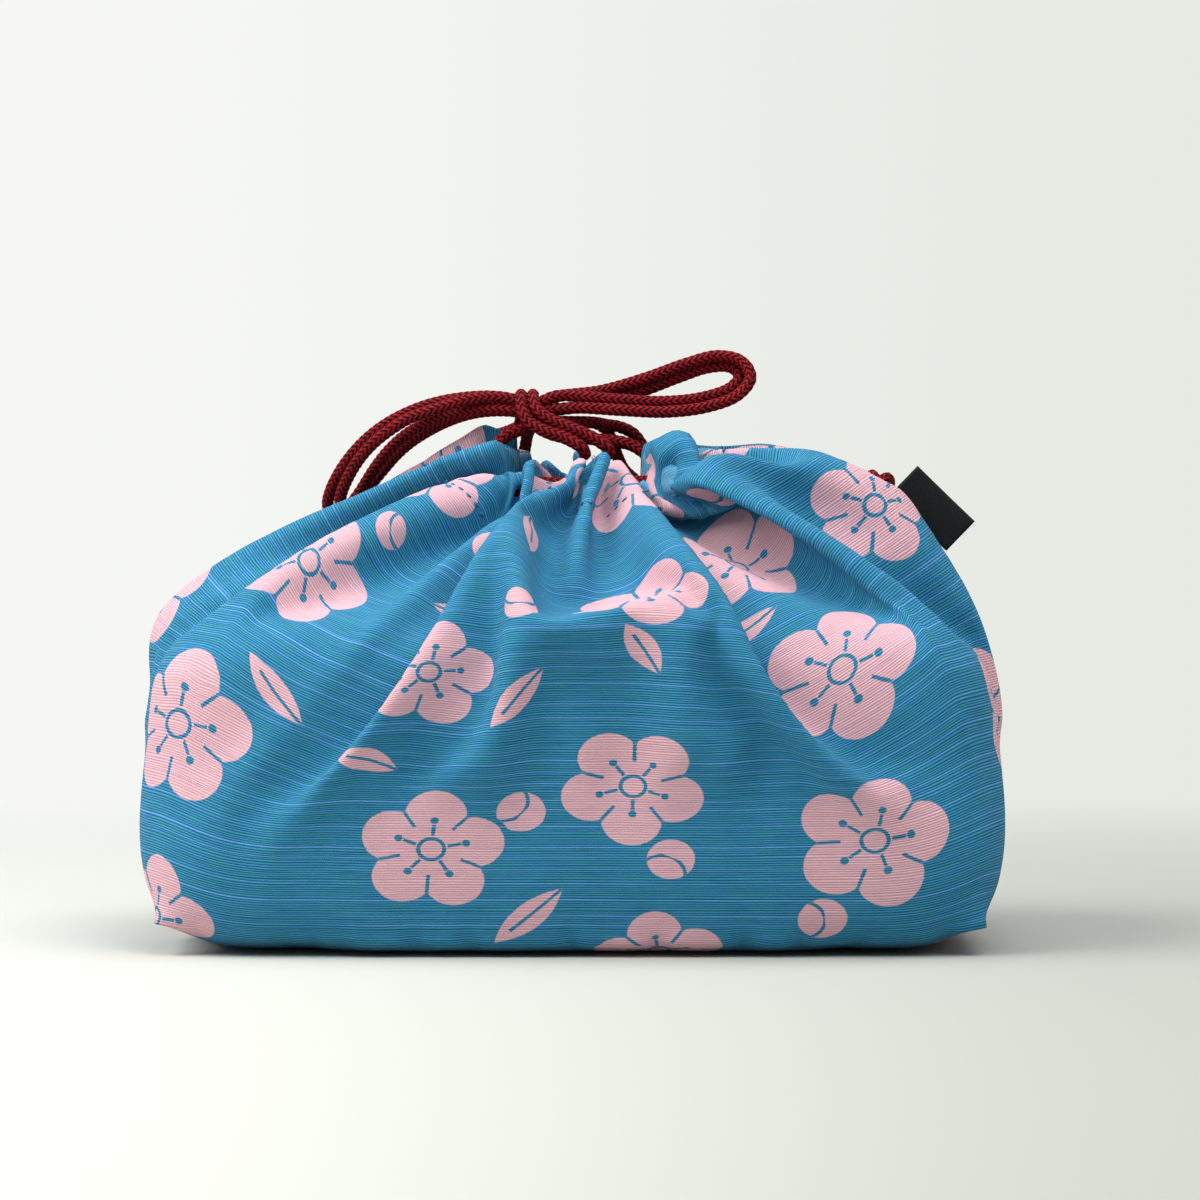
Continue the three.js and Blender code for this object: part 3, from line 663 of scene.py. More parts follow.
clear_of_cords(bag)
press_seams(bag)
cloth_tree = BVHTree.FromBMesh(bag)
print("seams pressed in; the cloth is", round(max(vert.co.z for vert in bag.verts), 1), "mm high")


# %% [markdown]
# ## Making a piece of the object
# Shapes are worked in millimetres, then scaled to metres once. Each finished piece hides the CAD solids it stands
# for and hangs from the body it moves with, so that a pose carries it along.

# %% Piece helper
def piece(name, shape, finishes, body, nodes):
    bmesh.ops.scale(shape, vec=(MM, MM, MM), verts=shape.verts)
    mesh = bpy.data.meshes.new(name)
    shape.to_mesh(mesh)
    shape.free()
    mesh.polygons.foreach_set("use_smooth", [True] * len(mesh.polygons))
    made = bpy.data.objects.new(name, mesh)
    for finish in finishes:
        mesh.materials.append(finish.owner)
    scene.collection.objects.link(made)
    if body:
        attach(made, body)
    if nodes:
        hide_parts(*nodes)
    return made


print("one millimetre is", MM, "units in the scene")


# %% [markdown]
# ## Printed cotton
# The ground is a slub weave: thick and thin threads lie across the bag, and now and then a brighter one shows as a
# broken stripe. The print is flat ink on top, so the ribs of the weave still show through it. Each motif is a
# distance, negative inside the shape: a petal is a circle folded five times round, a leaf is an almond. A half-drop
# layout with some chance in it keeps the repeat from showing. The flowers here are plain round plum blossoms.

# %% Motifs of the print
LINE = 0.42
STRAY = 0.26


def scatter(finish, p, q, wide, tall, seed):
    """Half-drop cells: the place within the cell, and three chance numbers for it."""
    column = (p / wide).floor()
    lifted = q + (column % 2.0) * (tall * 0.5)
    row = (lifted / tall).floor()
    one, two, three = finish.chance(column, row, seed)
    x = p - (column + 0.5) * wide - (one - 0.5) * (STRAY * wide)
    y = lifted - (row + 0.5) * tall - (two - 0.5) * (STRAY * tall)
    return x, y, one, two, three


def blossom(x, y, size, turn):
    """Distance to five round petals, and distance to the drawing inside them."""
    sector = 2.0 * math.pi / 5.0
    out = (x * x + y * y).root()
    swing = (y.angle(x) + turn) % sector - sector / 2.0
    along, beside = out * swing.cos(), abs(out * swing.sin())
    petal = ((along - size * 0.58) ** 2.0 + beside * beside).root() - size * 0.41
    flower = petal.least(out - size * 0.34)
    between = abs(out * (sector / 2.0 - abs(swing)).sin()) - LINE
    between = between.most(size * 0.42 - out)
    ring_line = abs(out - size * 0.17) - 0.45
    stamen = (beside - LINE).most(abs(along - size * 0.31) - size * 0.09)
    anther = ((along - size * 0.47) ** 2.0 + beside * beside).root() - size * 0.055
    drawing = between.least(ring_line).least(stamen).least(anther)
    return flower, drawing


def leaf(x, y, length, width, turn):
    along = x * turn.cos() + y * turn.sin()
    across = abs(y * turn.cos() - x * turn.sin())
    share = along / length
    almond = across - (1.0 - share * share) * width
    vein = (across - 0.4).most(along - length * 0.55)
    return almond, vein


def bud(x, y, size, turn):
    out = (x * x + y * y).root()
    along = x * turn.cos() + y * turn.sin()
    beside_x, beside_y = x - turn.cos() * size * 0.9, y - turn.sin() * size * 0.9
    fold_line = abs((beside_x ** 2.0 + beside_y ** 2.0).root() - size) - LINE
    return out - size, fold_line.most(-1.0 * along - size * 0.1)


print("motifs: blossom, leaf and bud, drawn with lines of", 2 * LINE, "mm")


# %% The weave and its ink
# The darkest ground colour is painted shade for the grooves between the threads.
GROUND, GROUND_GREEN, GROUND_GROOVE_SHADE = colour(56, 142, 188), colour(56, 148, 168), colour(6, 66, 100)
SLUB = colour(104, 166, 242)
# The deeper pink is painted shade for ink lying in the grooves of the weave.
INK, INK_GROOVE_SHADE = colour(232, 186, 192), colour(206, 150, 164)
WRONG_SIDE = colour(92, 142, 166)
RIB, WARP, SLUB_EVERY = 0.66, 0.5, 6.0
FULL_TURN = 6.28


def weave(finish, p, q):
    """The height of the weave from 0 to 1, the share of a bright slub thread, and the thread's thickness."""
    thread = q / RIB + finish.noise(p / 160.0, q / 2.6, 1.0, 1.0) * 1.6
    row = thread.floor()
    rib = 0.5 - (thread * (2.0 * math.pi)).cos() * 0.5
    thick = finish.noise(p / 9.0, row * 3.7, 2.0, 3.0)
    warp = abs((p / WARP * math.pi + (row % 2.0) * (math.pi / 2.0)).sin())
    height = rib * (0.4 + thick * 0.8) + warp * 0.18
    band = (row / SLUB_EVERY).floor()
    one, two, three = finish.chance(band, 3.0, 5.0)
    chosen = abs(row - band * SLUB_EVERY - (one * (SLUB_EVERY - 1.0) + 0.5).floor()) < 0.5
    length = finish.noise(p / 38.0 + two * 40.0, band * 5.3, 4.0, 1.0).ease(0.3, 0.62)
    slub = chosen * rib * (0.25 + length * 0.75) * (0.3 + three * 0.7)
    return height, slub, thick


def ground_colour(finish, p, q, height, slub, thick):
    """Blue and green-blue threads beside each other, with painted shade in the grooves between them."""
    dyed = finish.noise(p / 6.0, q / 1.4, 6.0) * 1.1
    thread = finish.blend(dyed.ease(0.4, 0.8), GROUND, GROUND_GREEN)
    # painted shade: low places of the weave take the dark groove colour, and thin threads lean towards it too
    groove = (height * 0.9 + thick * 0.3).ease(0.1, 0.9)
    return finish.blend(slub * 0.95, finish.blend(groove, GROUND_GROOVE_SHADE, thread), SLUB)


def printed_cotton():
    finish = Finish("printed_cotton")
    p, q = finish.place("Cloth")
    height, slub, thick = weave(finish, p, q)
    ground = ground_colour(finish, p, q, height, slub, thick)
    ragged = (thick - 0.5) * 0.5 + (height - 0.6) * 0.16

    def flower_near(across, up):
        x, y, one, _, three = scatter(finish, across + 9.0, up + 30.0, 56.0, 54.0, 1.0)
        return x, y, 15.0 + three * 4.5, one * FULL_TURN

    flower, flower_lines = blossom(*flower_near(p, q))
    x, y, one, two, three = scatter(finish, p + 31.0, q + 8.0, 34.0, 31.0, 2.0)
    turn = two * FULL_TURN
    almond, vein = leaf(x, y, 8.0 + one * 3.0, 3.4, turn)
    knob, knob_line = bud(x, y, 4.2 + one * 1.6, turn)
    is_leaf = three > 0.45
    small = almond * is_leaf + knob * (1.0 - is_leaf)
    small_lines = vein * is_leaf + knob_line * (1.0 - is_leaf)
    away_x, away_y, flower_size, _ = flower_near(p - x, q - y)
    room = (away_x * away_x + away_y * away_y).root() - flower_size
    small = small + (room < 5.0) * 100.0
    small = small.most(1.6 - flower)
    inked = 1.0 - (flower.least(small) + ragged).ease(-0.14, 0.14)
    lines = flower_lines.most(flower).least(small_lines.most(small))
    drawn = (lines + ragged * 0.7).ease(-0.12, 0.12)
    ink_share = inked * drawn * (0.88 + height * 0.1)
    # painted shade: the ink turns darker in the low places of the weave
    ink = finish.blend((height * 0.8 + thick * 0.4).ease(0.2, 0.9), INK_GROOVE_SHADE, INK)
    ink = finish.blend(slub * 0.25, ink, SLUB)
    finish.set(Base_Color=finish.blend(ink_share, ground, ink), Roughness=0.82 - slub * 0.12)
    finish.set(Normal=finish.bump(height + slub * 0.35, 0.16, 0.8))
    finish.set(Sheen_Weight=0.05, Sheen_Roughness=0.45, Specular_IOR_Level=0.2)
    return finish


def plain_cotton():
    finish = Finish("cotton_wrong_side")
    p, q = finish.place("Cloth")
    height, slub, thick = weave(finish, p, q)
    # thick threads are lighter in tone, and raised threads also carry some painted light
    plain = finish.blend((thick * 0.9 + height * 0.4).ease(0.3, 1.0), GROUND, WRONG_SIDE)
    finish.set(Base_Color=finish.blend(slub * 0.6, plain, SLUB), Roughness=0.88)
    finish.set(Normal=finish.bump(height, 0.14, 0.8), Sheen_Weight=0.15, Specular_IOR_Level=0.25)
    return finish


cotton_face, cotton_back = printed_cotton(), plain_cotton()
print("cotton:", len(cotton_face.tree.nodes), "nodes for the printed side")


# %% [markdown]
# ## The two panels and their hems
# The drawn-up bag comes apart at its seams into the front and the back panel. At the mouth each panel is folded
# inwards over the cords and stitched down 20 mm lower, which makes the casing. Where the outer layer folds away from
# the cords on one side, the inner layer folds away on the other, so the hem mirrors the pleats across the ring.

# %% Fold a hem
HEM_CLEAR, HEM_FOLLOW, HEM_MOST, LAYER = 1.8, 0.4, 2.6, 1.25
OPEN_BY, CLOSE_FROM, CLOSE_OVER = 7.0, 9.0, CASING - 10.0


def hem_point(outer, way, depth):
    """Where the inner layer lies: against the outer one at the fold and the stitches, and past the cords between."""
    half_length, half_depth = LEFT_RING
    ring_x, ring_y = whole_ring(way, half_length, half_depth)
    inward = Vector(((MOUTH_MIDDLE - ring_x) / half_length ** 2, -ring_y / half_depth ** 2, 0.0)).normalized()
    away = math.hypot(outer.co.x - ring_x, outer.co.y - ring_y)
    mirrored = Vector((ring_x, ring_y, outer.co.z)) + inward * (HEM_CLEAR + min(HEM_MOST, HEM_FOLLOW * away))
    against = outer.co - outer.normal * LAYER
    apart = ease(depth / OPEN_BY) * (1.0 - ease((depth - CLOSE_FROM) / CLOSE_OVER))
    return against.lerp(mirrored, apart)


print("hem:", HEM_ROWS, "rows turned in")


# %% Make the panels
BACK_SHIFT, CLOTH = 431.0, 0.9


def flat_place(vert, base, back, layers):
    """Where a point of the sewn bag lies on the flat cut cloth."""
    x, y, z = (vert[layer] for layer in layers)
    sign = -1.0 if back else 1.0
    if base:
        across, up = x, abs(y) - HALF_DEPTH
    else:
        across, up = PANEL_HALF - way_round(x, -abs(y)), z
    return Vector((sign * across + BACK_SHIFT * back, up)) * MM


def panel(name, back):
    part = bag.copy()
    base, rear = part.faces.layers.int["base"], part.faces.layers.int["back"]
    layers = sewn_x, sewn_y, sewn_z = [part.verts.layers.float["sewn_" + axis] for axis in "xyz"]
    bmesh.ops.delete(part, geom=[face for face in part.faces if face[rear] != back], context="FACES")
    part.normal_update()
    hems = {}
    for vert in part.verts:
        x, y, row = round(vert[sewn_x], 1), round(vert[sewn_y], 1), round(vert[sewn_z] / ROW)
        if row >= ROWS - HEM_ROWS:
            hems[x, y, row] = hem_point(vert, way_round(x, y), (ROWS - row) * ROW)
    rim = [e for e in part.edges if e.is_boundary and all(abs(v[sewn_z] - RISE) < 0.1 for v in e.verts)]
    for step in range(1, HEM_ROWS + 1):
        folded = bmesh.ops.extrude_edge_only(part, edges=rim)["geom"]
        rim = [item for item in folded if isinstance(item, bmesh.types.BMEdge)]
        for vert in (item for item in folded if isinstance(item, bmesh.types.BMVert)):
            vert.co = hems[round(vert[sewn_x], 1), round(vert[sewn_y], 1), ROWS - step]
            vert[sewn_z] = RISE + step * ROW
        for face in (item for item in folded if isinstance(item, bmesh.types.BMFace)):
            face[base], face[rear] = 0, back
    layout = part.loops.layers.uv.new("Cloth")
    for face in part.faces:
        for loop in face.loops:
            loop[layout].uv = flat_place(loop.vert, face[base], back, layers)
    made = piece(name, part, [cotton_face, cotton_back], "bag", [name])
    smooth = made.modifiers.new("Smooth", "SUBSURF")
    smooth.levels = smooth.render_levels = 1
    thick = made.modifiers.new("Thickness", "SOLIDIFY")
    thick.thickness, thick.offset, thick.material_offset = CLOTH * MM, -1.0, 1
    return made


front_panel, back_panel = panel("front_panel", 0), panel("back_panel", 1)
print("panels:", len(front_panel.data.polygons), "and", len(back_panel.data.polygons), "faces before smoothing")


# %% [markdown]
# ## Braided cord
# The cord is round braid: yarns cross in columns of slanting stitches that make a herringbone. A grid rolled to a
# tube gives one square of mesh for every bit of yarn, and the radius rises and falls with the stitches, so that the
# braid shows at the outline too. The tube follows a curve through a few points, in even steps.

# %% Curves through points
FINE = 24


def curve_through(points, step):
    """A Catmull-Rom curve through the points, measured off in even steps."""
    points = [Vector(point) for point in points]
    ends = [points[0] * 2 - points[1], *points, points[-1] * 2 - points[-2]]
    fine = []
    for a, b, c, d in zip(ends, ends[1:], ends[2:], ends[3:]):
        t1 = max(1e-4, (b - a).length ** 0.5)
        t2 = t1 + max(1e-4, (c - b).length ** 0.5)
        t3 = t2 + max(1e-4, (d - c).length ** 0.5)
        for part in range(FINE):
            t = t1 + (t2 - t1) * part / FINE
            first, second = a.lerp(b, t / t1), b.lerp(c, (t - t1) / (t2 - t1))
            third = c.lerp(d, (t - t2) / (t3 - t2))
            left, right = first.lerp(second, t / t2), second.lerp(third, (t - t1) / (t3 - t1))
            fine.append(left.lerp(right, (t - t1) / (t2 - t1)))
    fine.append(points[-1])
    return even_steps(fine, step)


def even_steps(fine, step):
    ways = [0.0]
    for a, b in zip(fine, fine[1:]):
        ways.append(ways[-1] + (b - a).length)
    count = max(2, round(ways[-1] / step))
    line, at = [], 0
    for number in range(count + 1):
        way = ways[-1] * number / count
        while at < len(fine) - 2 and ways[at + 1] < way:
            at += 1
        line.append(fine[at].lerp(fine[at + 1], (way - ways[at]) / max(1e-9, ways[at + 1] - ways[at])))
    return line


def line_length(line):
    return sum((b - a).length for a, b in zip(line, line[1:]))


print("curves: each span is drawn in", FINE, "parts, then measured off evenly")


# %% Braid
CORD = 3.0
SIDES, COLUMNS, STITCH, STEP = 32, 8, 1.6, 0.3
RELIEF, LOFT, SLANT = 0.4, 0.06, 0.9
STITCH_SHARE, COLUMN_SHARE, STITCH_ROUND, TIP_ROUND = 0.75, 0.25, 0.7, 0.8


def braid_radius(side, way):
    column = side * COLUMNS / SIDES
    within = column % 1.0
    slant = within if int(column) % 2 == 0 else 1.0 - within
    stitch = abs(math.cos(math.pi * (way / STITCH + SLANT * slant)))
    groove = math.sin(math.pi * within)
    return CORD / 2 + LOFT - RELIEF * (1.0 - STITCH_SHARE * stitch ** STITCH_ROUND - COLUMN_SHARE * groove)


def grid_places(shape, wide, deep):
    """The column and the row of each point of a new grid."""
    return {v: (round((v.co.x + 1) / 2 * wide), round((v.co.y + 1) / 2 * deep)) for v in shape.verts}


def braid(line, closed=False):
    """A braided tube along an evenly stepped line. Its ends are rounded, or meet when it is closed."""
    shape = bmesh.new()
    count = len(line)
    bmesh.ops.create_grid(shape, x_segments=SIDES, y_segments=count - 1, size=1.0)
    layout = shape.loops.layers.uv.new("Braid")
    places = grid_places(shape, SIDES, count - 1)
    step = line_length(line) / (count - 1)
    for face in shape.faces:
        for loop in face.loops:
            side, at = places[loop.vert]
            loop[layout].uv = (side / SIDES * math.pi * CORD * MM, at * step * MM)
    frames = turned_frames(line, closed)
    untwist = math.atan2(frames[-1][0].dot(frames[0][1]), frames[-1][0].dot(frames[0][0])) if closed else 0.0
    for vert, (side, at) in places.items():
        angle = 2 * math.pi * (side % SIDES) / SIDES - untwist * at / (count - 1)
        end_share = max(0.0, 1.0 - min(at, count - 1 - at) * step / (TIP_ROUND * CORD / 2))
        round_off = 1.0 if closed else math.sqrt(max(0.0, 1.0 - end_share ** 2))
        out = frames[at][0] * math.cos(angle) + frames[at][1] * math.sin(angle)
        vert.co = line[at] + out * braid_radius(side % SIDES, at * step) * round_off
    bmesh.ops.remove_doubles(shape, verts=shape.verts, dist=0.004)
    bmesh.ops.recalc_face_normals(shape, faces=shape.faces)
    return shape


def turned_frames(line, closed):
    """Two directions across the line at each of its points, carried along it without twisting."""
    count = len(line)
    heading = (line[1] - line[0]).normalized()
    first = heading.orthogonal().normalized()
    frames = []
    for at in range(count):
        before, after = line[max(0, at - 1)], line[min(count - 1, at + 1)]
        if closed and at in (0, count - 1):
            before, after = line[-2], line[1]
        now = (after - before).normalized()
        first = heading.rotation_difference(now) @ first
        first = (first - now * first.dot(now)).normalized()
        heading = now
        frames.append((first, now.cross(first)))
    return frames


print("braid:", COLUMNS, "columns of stitches,", STITCH, "mm each, on a cord of", CORD, "mm")


# %% Cord finish
# The darkest crimson is painted shade in the gaps between stitches, the lightest a painted highlight on their crowns.
CRIMSON, CRIMSON_STITCH_SHADE, CRIMSON_STITCH_HIGHLIGHT = colour(112, 4, 15), colour(26, 0, 4), colour(202, 32, 42)


def braided_cord():
    finish = Finish("braided_cord")
    around, along = finish.place("Braid")
    column = around / (math.pi * CORD / COLUMNS)
    within = column % 1.0
    odd = column.floor() % 2.0
    slant = within * (1.0 - odd) + (1.0 - within) * odd
    phase = along / STITCH + slant * SLANT
    stitch = abs((phase * math.pi).cos())
    yarn = finish.chance((phase + 0.5).floor(), column.floor(), 2.0)[0]
    fibre = finish.noise(around * 9.0 + along * 2.0, along * 3.0, odd * 5.0, 3.0)
    # painted shade in the gaps between stitches, mixed with real chance tone from yarn to yarn and fibre to fibre
    yarn_tone_and_shade = (stitch * stitch * 0.75 + yarn * 0.3 + fibre * 0.3).ease(0.15, 1.1)
    shaded_crimson = finish.blend(yarn_tone_and_shade, CRIMSON_STITCH_SHADE, CRIMSON)
    # painted highlight on the stitch crowns
    finish.set(Base_Color=finish.blend((fibre * stitch).ease(0.35, 0.65) * 0.7, shaded_crimson, CRIMSON_STITCH_HIGHLIGHT))
    finish.set(Roughness=0.78 - stitch * 0.14, Normal=finish.bump(stitch * 0.6 + fibre * 0.5, 0.16, 0.7))
    finish.set(Sheen_Weight=0.0, Specular_IOR_Level=0.12)
    return finish


crimson = braided_cord()
print("cord finish:", len(crimson.tree.nodes), "nodes")


# %% [markdown]
# ## Laying the cords
# A cord that rests on the cloth takes the cloth's shape. The routes begin as the CAD has them, and each point is
# then set on the settled cloth below it, or pushed out where it dips under. The tied ends stay as they are.

# %% Set a route on the cloth
KNOT = Vector((-10.0, -1.0, 127.0))
REST_GAP, LAY_STEP, LAY_ROUNDS, LAY_FADE = 0.35, 2.0, 6, 8.0
FROM_ABOVE, REACH, STEEPEST, SUNK = 200.0, 25.0, 0.45, 12.0
SLOT, GRIPPED = (6.1, 1.6, 3.2), (1.2, 1.2, 1.9)
MIDDLE_ROW = 1.5


def lay(points, free, rest_from=math.inf):
    """Even points along the route: clear of the cloth past its free ends, and resting on it from rest_from on."""
    line = curve_through(points, LAY_STEP)
    total = line_length(line)
    step = total / (len(line) - 1)
    gap = CORD / 2 + REST_GAP
    for _ in range(LAY_ROUNDS):
        moved = []
        for at, point in enumerate(line):
            way = at * step
            now = point.copy()
            if rest_from <= way <= total:
                hit, normal, _, _ = cloth_tree.ray_cast(Vector((now.x, now.y, FROM_ABOVE)), Vector((0, 0, -1)))
                if hit and abs(hit.z - now.z) < REACH:
                    settle = hit.z + gap / max(STEEPEST, abs(normal.z))
                    now.z = mix(now.z, settle, min(1.0, (way - rest_from) / LAY_FADE))
            if free <= way <= total - free:
                near, normal, _, apart = cloth_tree.find_nearest(now)
                side = (now - near).dot(normal)
                if apart < gap or side < 0 and apart < SUNK:
                    now += normal * (gap - side)
            moved.append(now)
        eased = [(a + b * 2 + c) / 4 for a, b, c in zip(moved, moved[1:], moved[2:])]
        line = [moved[0], *eased, moved[-1]]
    return line


def knot_place(side, row, rear, out, apart, pitch):
    return KNOT + Vector((side * out, apart if rear else -apart, (MIDDLE_ROW - row) * pitch))


def knot_slot(side, row, rear):
    """Where a strand leaves the knot."""
    return knot_place(side, row, rear, *SLOT)


def knot_end(side, row, rear):
    """Where a strand is gripped inside the knot."""
    return knot_place(side, row, rear, *GRIPPED)


def knot_points(*offsets):
    return [KNOT + Vector(offset) for offset in offsets]


print("knot at", list(KNOT), "mm")


# %% Loops of the bow
LOOPS = {
    "right_loop_outer": ((1, False), (0, True), [
        (12, -1.9, 1.9), (22, -2.2, 1.3), (33, -2, 0.9), (43, -1.2, 2.2), (50.5, 0.3, 5.2), (53.6, 1.8, 9.6),
        (51.4, 3.1, 13.6), (45.6, 3.9, 15), (37.5, 4.3, 13), (28, 4.3, 9.6), (17, 3.4, 6.4)]),
    "right_loop_inner": ((0, False), (1, True), [
        (12, -1.2, 4.7), (22, -0.7, 3.9), (32, 0.1, 3.5), (41.8, 1.4, 4.6), (48.9, 3.1, 7.2), (51.0, 4.6, 10.1),
        (48.8, 5.6, 12.4), (43.2, 6.1, 12.3), (36.2, 6.6, 10), (27.6, 6.1, 6.7), (16, 3.9, 3.2)]),
    "left_loop_front": ((0, False), (1, False), [
        (-14, -1.5, 4.3), (-25, -0.7, 1.2), (-35.5, 2.2, -3.6), (-42, 6, -9.2), (-46, 10.4, -15),
        (-48.4, 15, -20.6), (-48, 19.6, -23.6), (-44.5, 20.6, -19.6), (-39.5, 16.6, -11.8), (-32.5, 11.2, -4.6),
        (-23.5, 5.4, -0.2), (-14, 0.2, 1.8)]),
    "left_loop_rear": ((0, True), (1, True), [
        (-14, 1.9, 4.9), (-25, 3, 3.2), (-36.5, 6, -1.8), (-44, 9.8, -8), (-49, 13.8, -14.6), (-51.8, 18.6, -20.8),
        (-51.4, 23.4, -24), (-46.5, 25, -21.6), (-39.5, 23.2, -14.2), (-33, 16.9, -7.4), (-23.5, 9.7, -1.8),
        (-14, 3.5, 1.2)]),
}

LINE_STEP, PATH_STEP = 0.5, 1.0
cords = {}


def strand(name, line, body, nodes):
    made = piece(name, braid(even_steps(line, STEP)), [crimson], body, nodes)
    path = [tuple(point * MM) for point in even_steps(line, PATH_STEP)]
    length = line_length(line) * MM
    cords[name] = length / MM
    return made


for name, (out, back, offsets) in LOOPS.items():
    side = 1 if name.startswith("right") else -1
    route = [knot_end(side, *out), knot_slot(side, *out), *knot_points(*offsets),
             knot_slot(side, *back), knot_end(side, *back)]
    rough = curve_through(route, LAY_STEP) if side > 0 else lay(route, free=16.0)
    strand(name, curve_through(rough, LINE_STEP), name.split("_")[0] + "_loop", [name])
    print(name, round(cords[name], 1), "mm")


# %% [markdown]
# ## Tails and their end knots
# Each pair of tails runs down over the gathers and ends in one shared overhand knot, which keeps the cords from
# slipping back into the casing. The knot is a closed curve with three crossings, in the same braid. The right tails
# bend just outside the knot when they swing, so their ends stay gripped inside it.

# %% Tails
TAILS = {
    "right_tail_front": ([knot_end(1, 2, False), knot_slot(1, 2, False)], [
        (13.8, 1.5, -1.3), (22.5, 7, -2), (29.5, 13.3, -3.8), (37, 18.4, -8.6), (48, 20.9, -13), (58, 21.1, -12.5),
        (67.5, 19.1, -11), (76.8, 15.2, -11.8), (84.5, 10.4, -14.6)]),
    "right_tail_rear": ([knot_end(1, 2, True), knot_slot(1, 2, True)], [
        (12.6, 5.3, -1.1), (20, 10.9, -1.8), (26.5, 17, -4.2), (34.5, 22, -9.6), (47, 24.6, -16.2),
        (58.5, 24.8, -16.4), (69.5, 22.6, -14.6), (79.4, 18.4, -14), (87, 13.4, -16)]),
    "left_tail_front": (knot_points((-1.2, 1.5, -1.0), (-1.6, 4.8, -1.6)), [
        (-4.6, 10, -2.6), (-8.6, 15.6, -4.4), (-12.2, 21.2, -9.4), (-15, 26.6, -16.4), (-18, 32.4, -23),
        (-21, 38.2, -28.2), (-24.2, 43.8, -31.2)]),
    "left_tail_rear": (knot_points((1.2, 1.5, -1.0), (1.6, 4.8, -1.6)), [
        (-1.2, 10, -2.6), (-5, 15.4, -4.4), (-8.6, 20.6, -9.2), (-11.4, 26, -16.4), (-14, 32, -23),
        (-16.8, 38, -28), (-19.6, 44, -31)]),
}
tail_lines = {}
for name, (start, offsets) in TAILS.items():
    rough = lay([*start, *knot_points(*offsets)], free=14.0, rest_from=16.0)
    tail_lines[name] = curve_through(rough, LINE_STEP)
print("tails laid:", ", ".join(tail_lines))


# %% End knots
END_KNOT, END_KNOT_REST, END_KNOT_PARTS, END_KNOT_LONG = 1.4, 4.1, 48, 1.25
LAST = 8
BEND_START, BEND_END = knot_points((6.5, 0.4, -1.6), (15.0, 4.6, -1.9))


def end_knot(name, middle, along, body):
    """An overhand knot, pulled snug, with its three lobes in line with the tails."""
    turn = along.to_track_quat("Z", "Y").to_matrix()
    points = []
    for number in range(END_KNOT_PARTS + 1):
        t = 2 * math.pi * number / END_KNOT_PARTS
        out = 2.0 + math.cos(3 * t)
        place = Vector((out * math.cos(2 * t), out * math.sin(2 * t), END_KNOT_LONG * math.sin(3 * t)))
        points.append(middle + turn @ place * END_KNOT)
    return piece(name, braid(curve_through(points, STEP), closed=True), [crimson], body, [name])


for side in ("right", "left"):
    pair = [tail_lines[side + "_tail_front"], tail_lines[side + "_tail_rear"]]
    middle = (pair[0][-1] + pair[1][-1]) / 2
    along = ((pair[0][-1] - pair[0][-LAST]) + (pair[1][-1] - pair[1][-LAST])).normalized()
    near, normal, _, _ = cloth_tree.find_nearest(middle)
    middle = near + normal * max(END_KNOT_REST, (middle - near).dot(normal))
    end_knot(side + "_end_knot", middle, along, side + "_tail")
    for line in pair:
        kept = [*line[:-LAST:LAST], line[-LAST - 1], middle - along * (CORD / 2)]
        line[:] = even_steps(curve_through(kept, LINE_STEP), LINE_STEP)
    print(side, "end knot at", [round(v, 1) for v in middle])
for name, line in tail_lines.items():
    side = name.split("_")[0]
    bends = side == "right"
    made = strand(name, line, None if bends else "left_tail", [name])
    if bends:
        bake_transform(made, "knot", "right_tail", tuple(BEND_START * MM), tuple(BEND_END * MM))
    print(name, round(cords[name], 1), "mm")


# %% [markdown]
# ## The cords inside the hem
# Each cord leaves the knot, drops into the casing at one side of the mouth, runs right round inside the hem and comes
# back out at the same side. One cord comes out at the left and the other at the right, which is how pulling both
# shuts the mouth evenly.

# %% Cords through the casing
ENTRY, RING_PARTS = 0.07, 24


def casing_route(side, half_length, half_depth, height, ear):
    """Points round the ring, from the slit on one side and back to it."""
    points = []
    for number in range(RING_PARTS + 1):
        share = mix(ENTRY, 2.0 - ENTRY, number / RING_PARTS)
        way = (share if side > 0 else 1.0 + share) % 2.0 * HALF_ROUND
        x, y = whole_ring(way, half_length, half_depth)
        rise = ear * math.cos(math.pi * way / HALF_ROUND) ** 2
        points.append(Vector((x, y, height + rise)))
    return points if points[0].y < points[-1].y else points[::-1]


def through_casing(side, ring_points, turn_in, turn_out):
    """From the knot into the casing, round the mouth and back to the knot."""
    into = [knot_end(side, 3, False), knot_slot(side, 3, False), *map(Vector, turn_in)]
    out = [*map(Vector, turn_out), knot_slot(side, 3, True), knot_end(side, 3, True)]
    return into + ring_points + out


left_route = through_casing(
    -1, casing_route(-1, *LEFT_RING, LEFT_HEIGHT, 1.0),
    [(-18.6, -2.4, 119.6), (-20.6, -2.6, 115.6)], [(-20.6, 2.6, 115.6), (-18.6, 2.4, 119.6)])
right_route = through_casing(
    1, casing_route(1, *RIGHT_RING, RIGHT_HEIGHT, 3.5),
    [(6.0, -2.4, 121.3), (13.4, -2.5, 120.2), (18.6, -2.7, 116.8), (21.8, -3.0, 111.8)],
    [(23.6, 2.6, 112.8), (20.5, 2.3, 117.4), (14.0, 2.3, 120.2), (6.0, 2.4, 121.4)])
LIFT_START, LIFT_END = Vector((0.0, 0.0, 0.1165)), Vector((0.0, 0.0, 0.1215))
for side, route in (("left", left_route), ("right", right_route)):
    names = [side + "_lead_front", side + "_lead_rear", side + "_cord_casing_run"]
    made = strand(side + "_cord", curve_through(route, LINE_STEP), None, names)
    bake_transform(made, "bag", "knot", tuple(LIFT_START), tuple(LIFT_END))
    print(made.name, round(cords[made.name], 1), "mm")


# %% [markdown]
# ## The knot
# Two turns of cord go over the bundle, side by side. Each comes down the front, slants away to the right and ends in
# a folded tip, which then runs back behind itself into the knot. Every turn is one line, drawn through a few points.

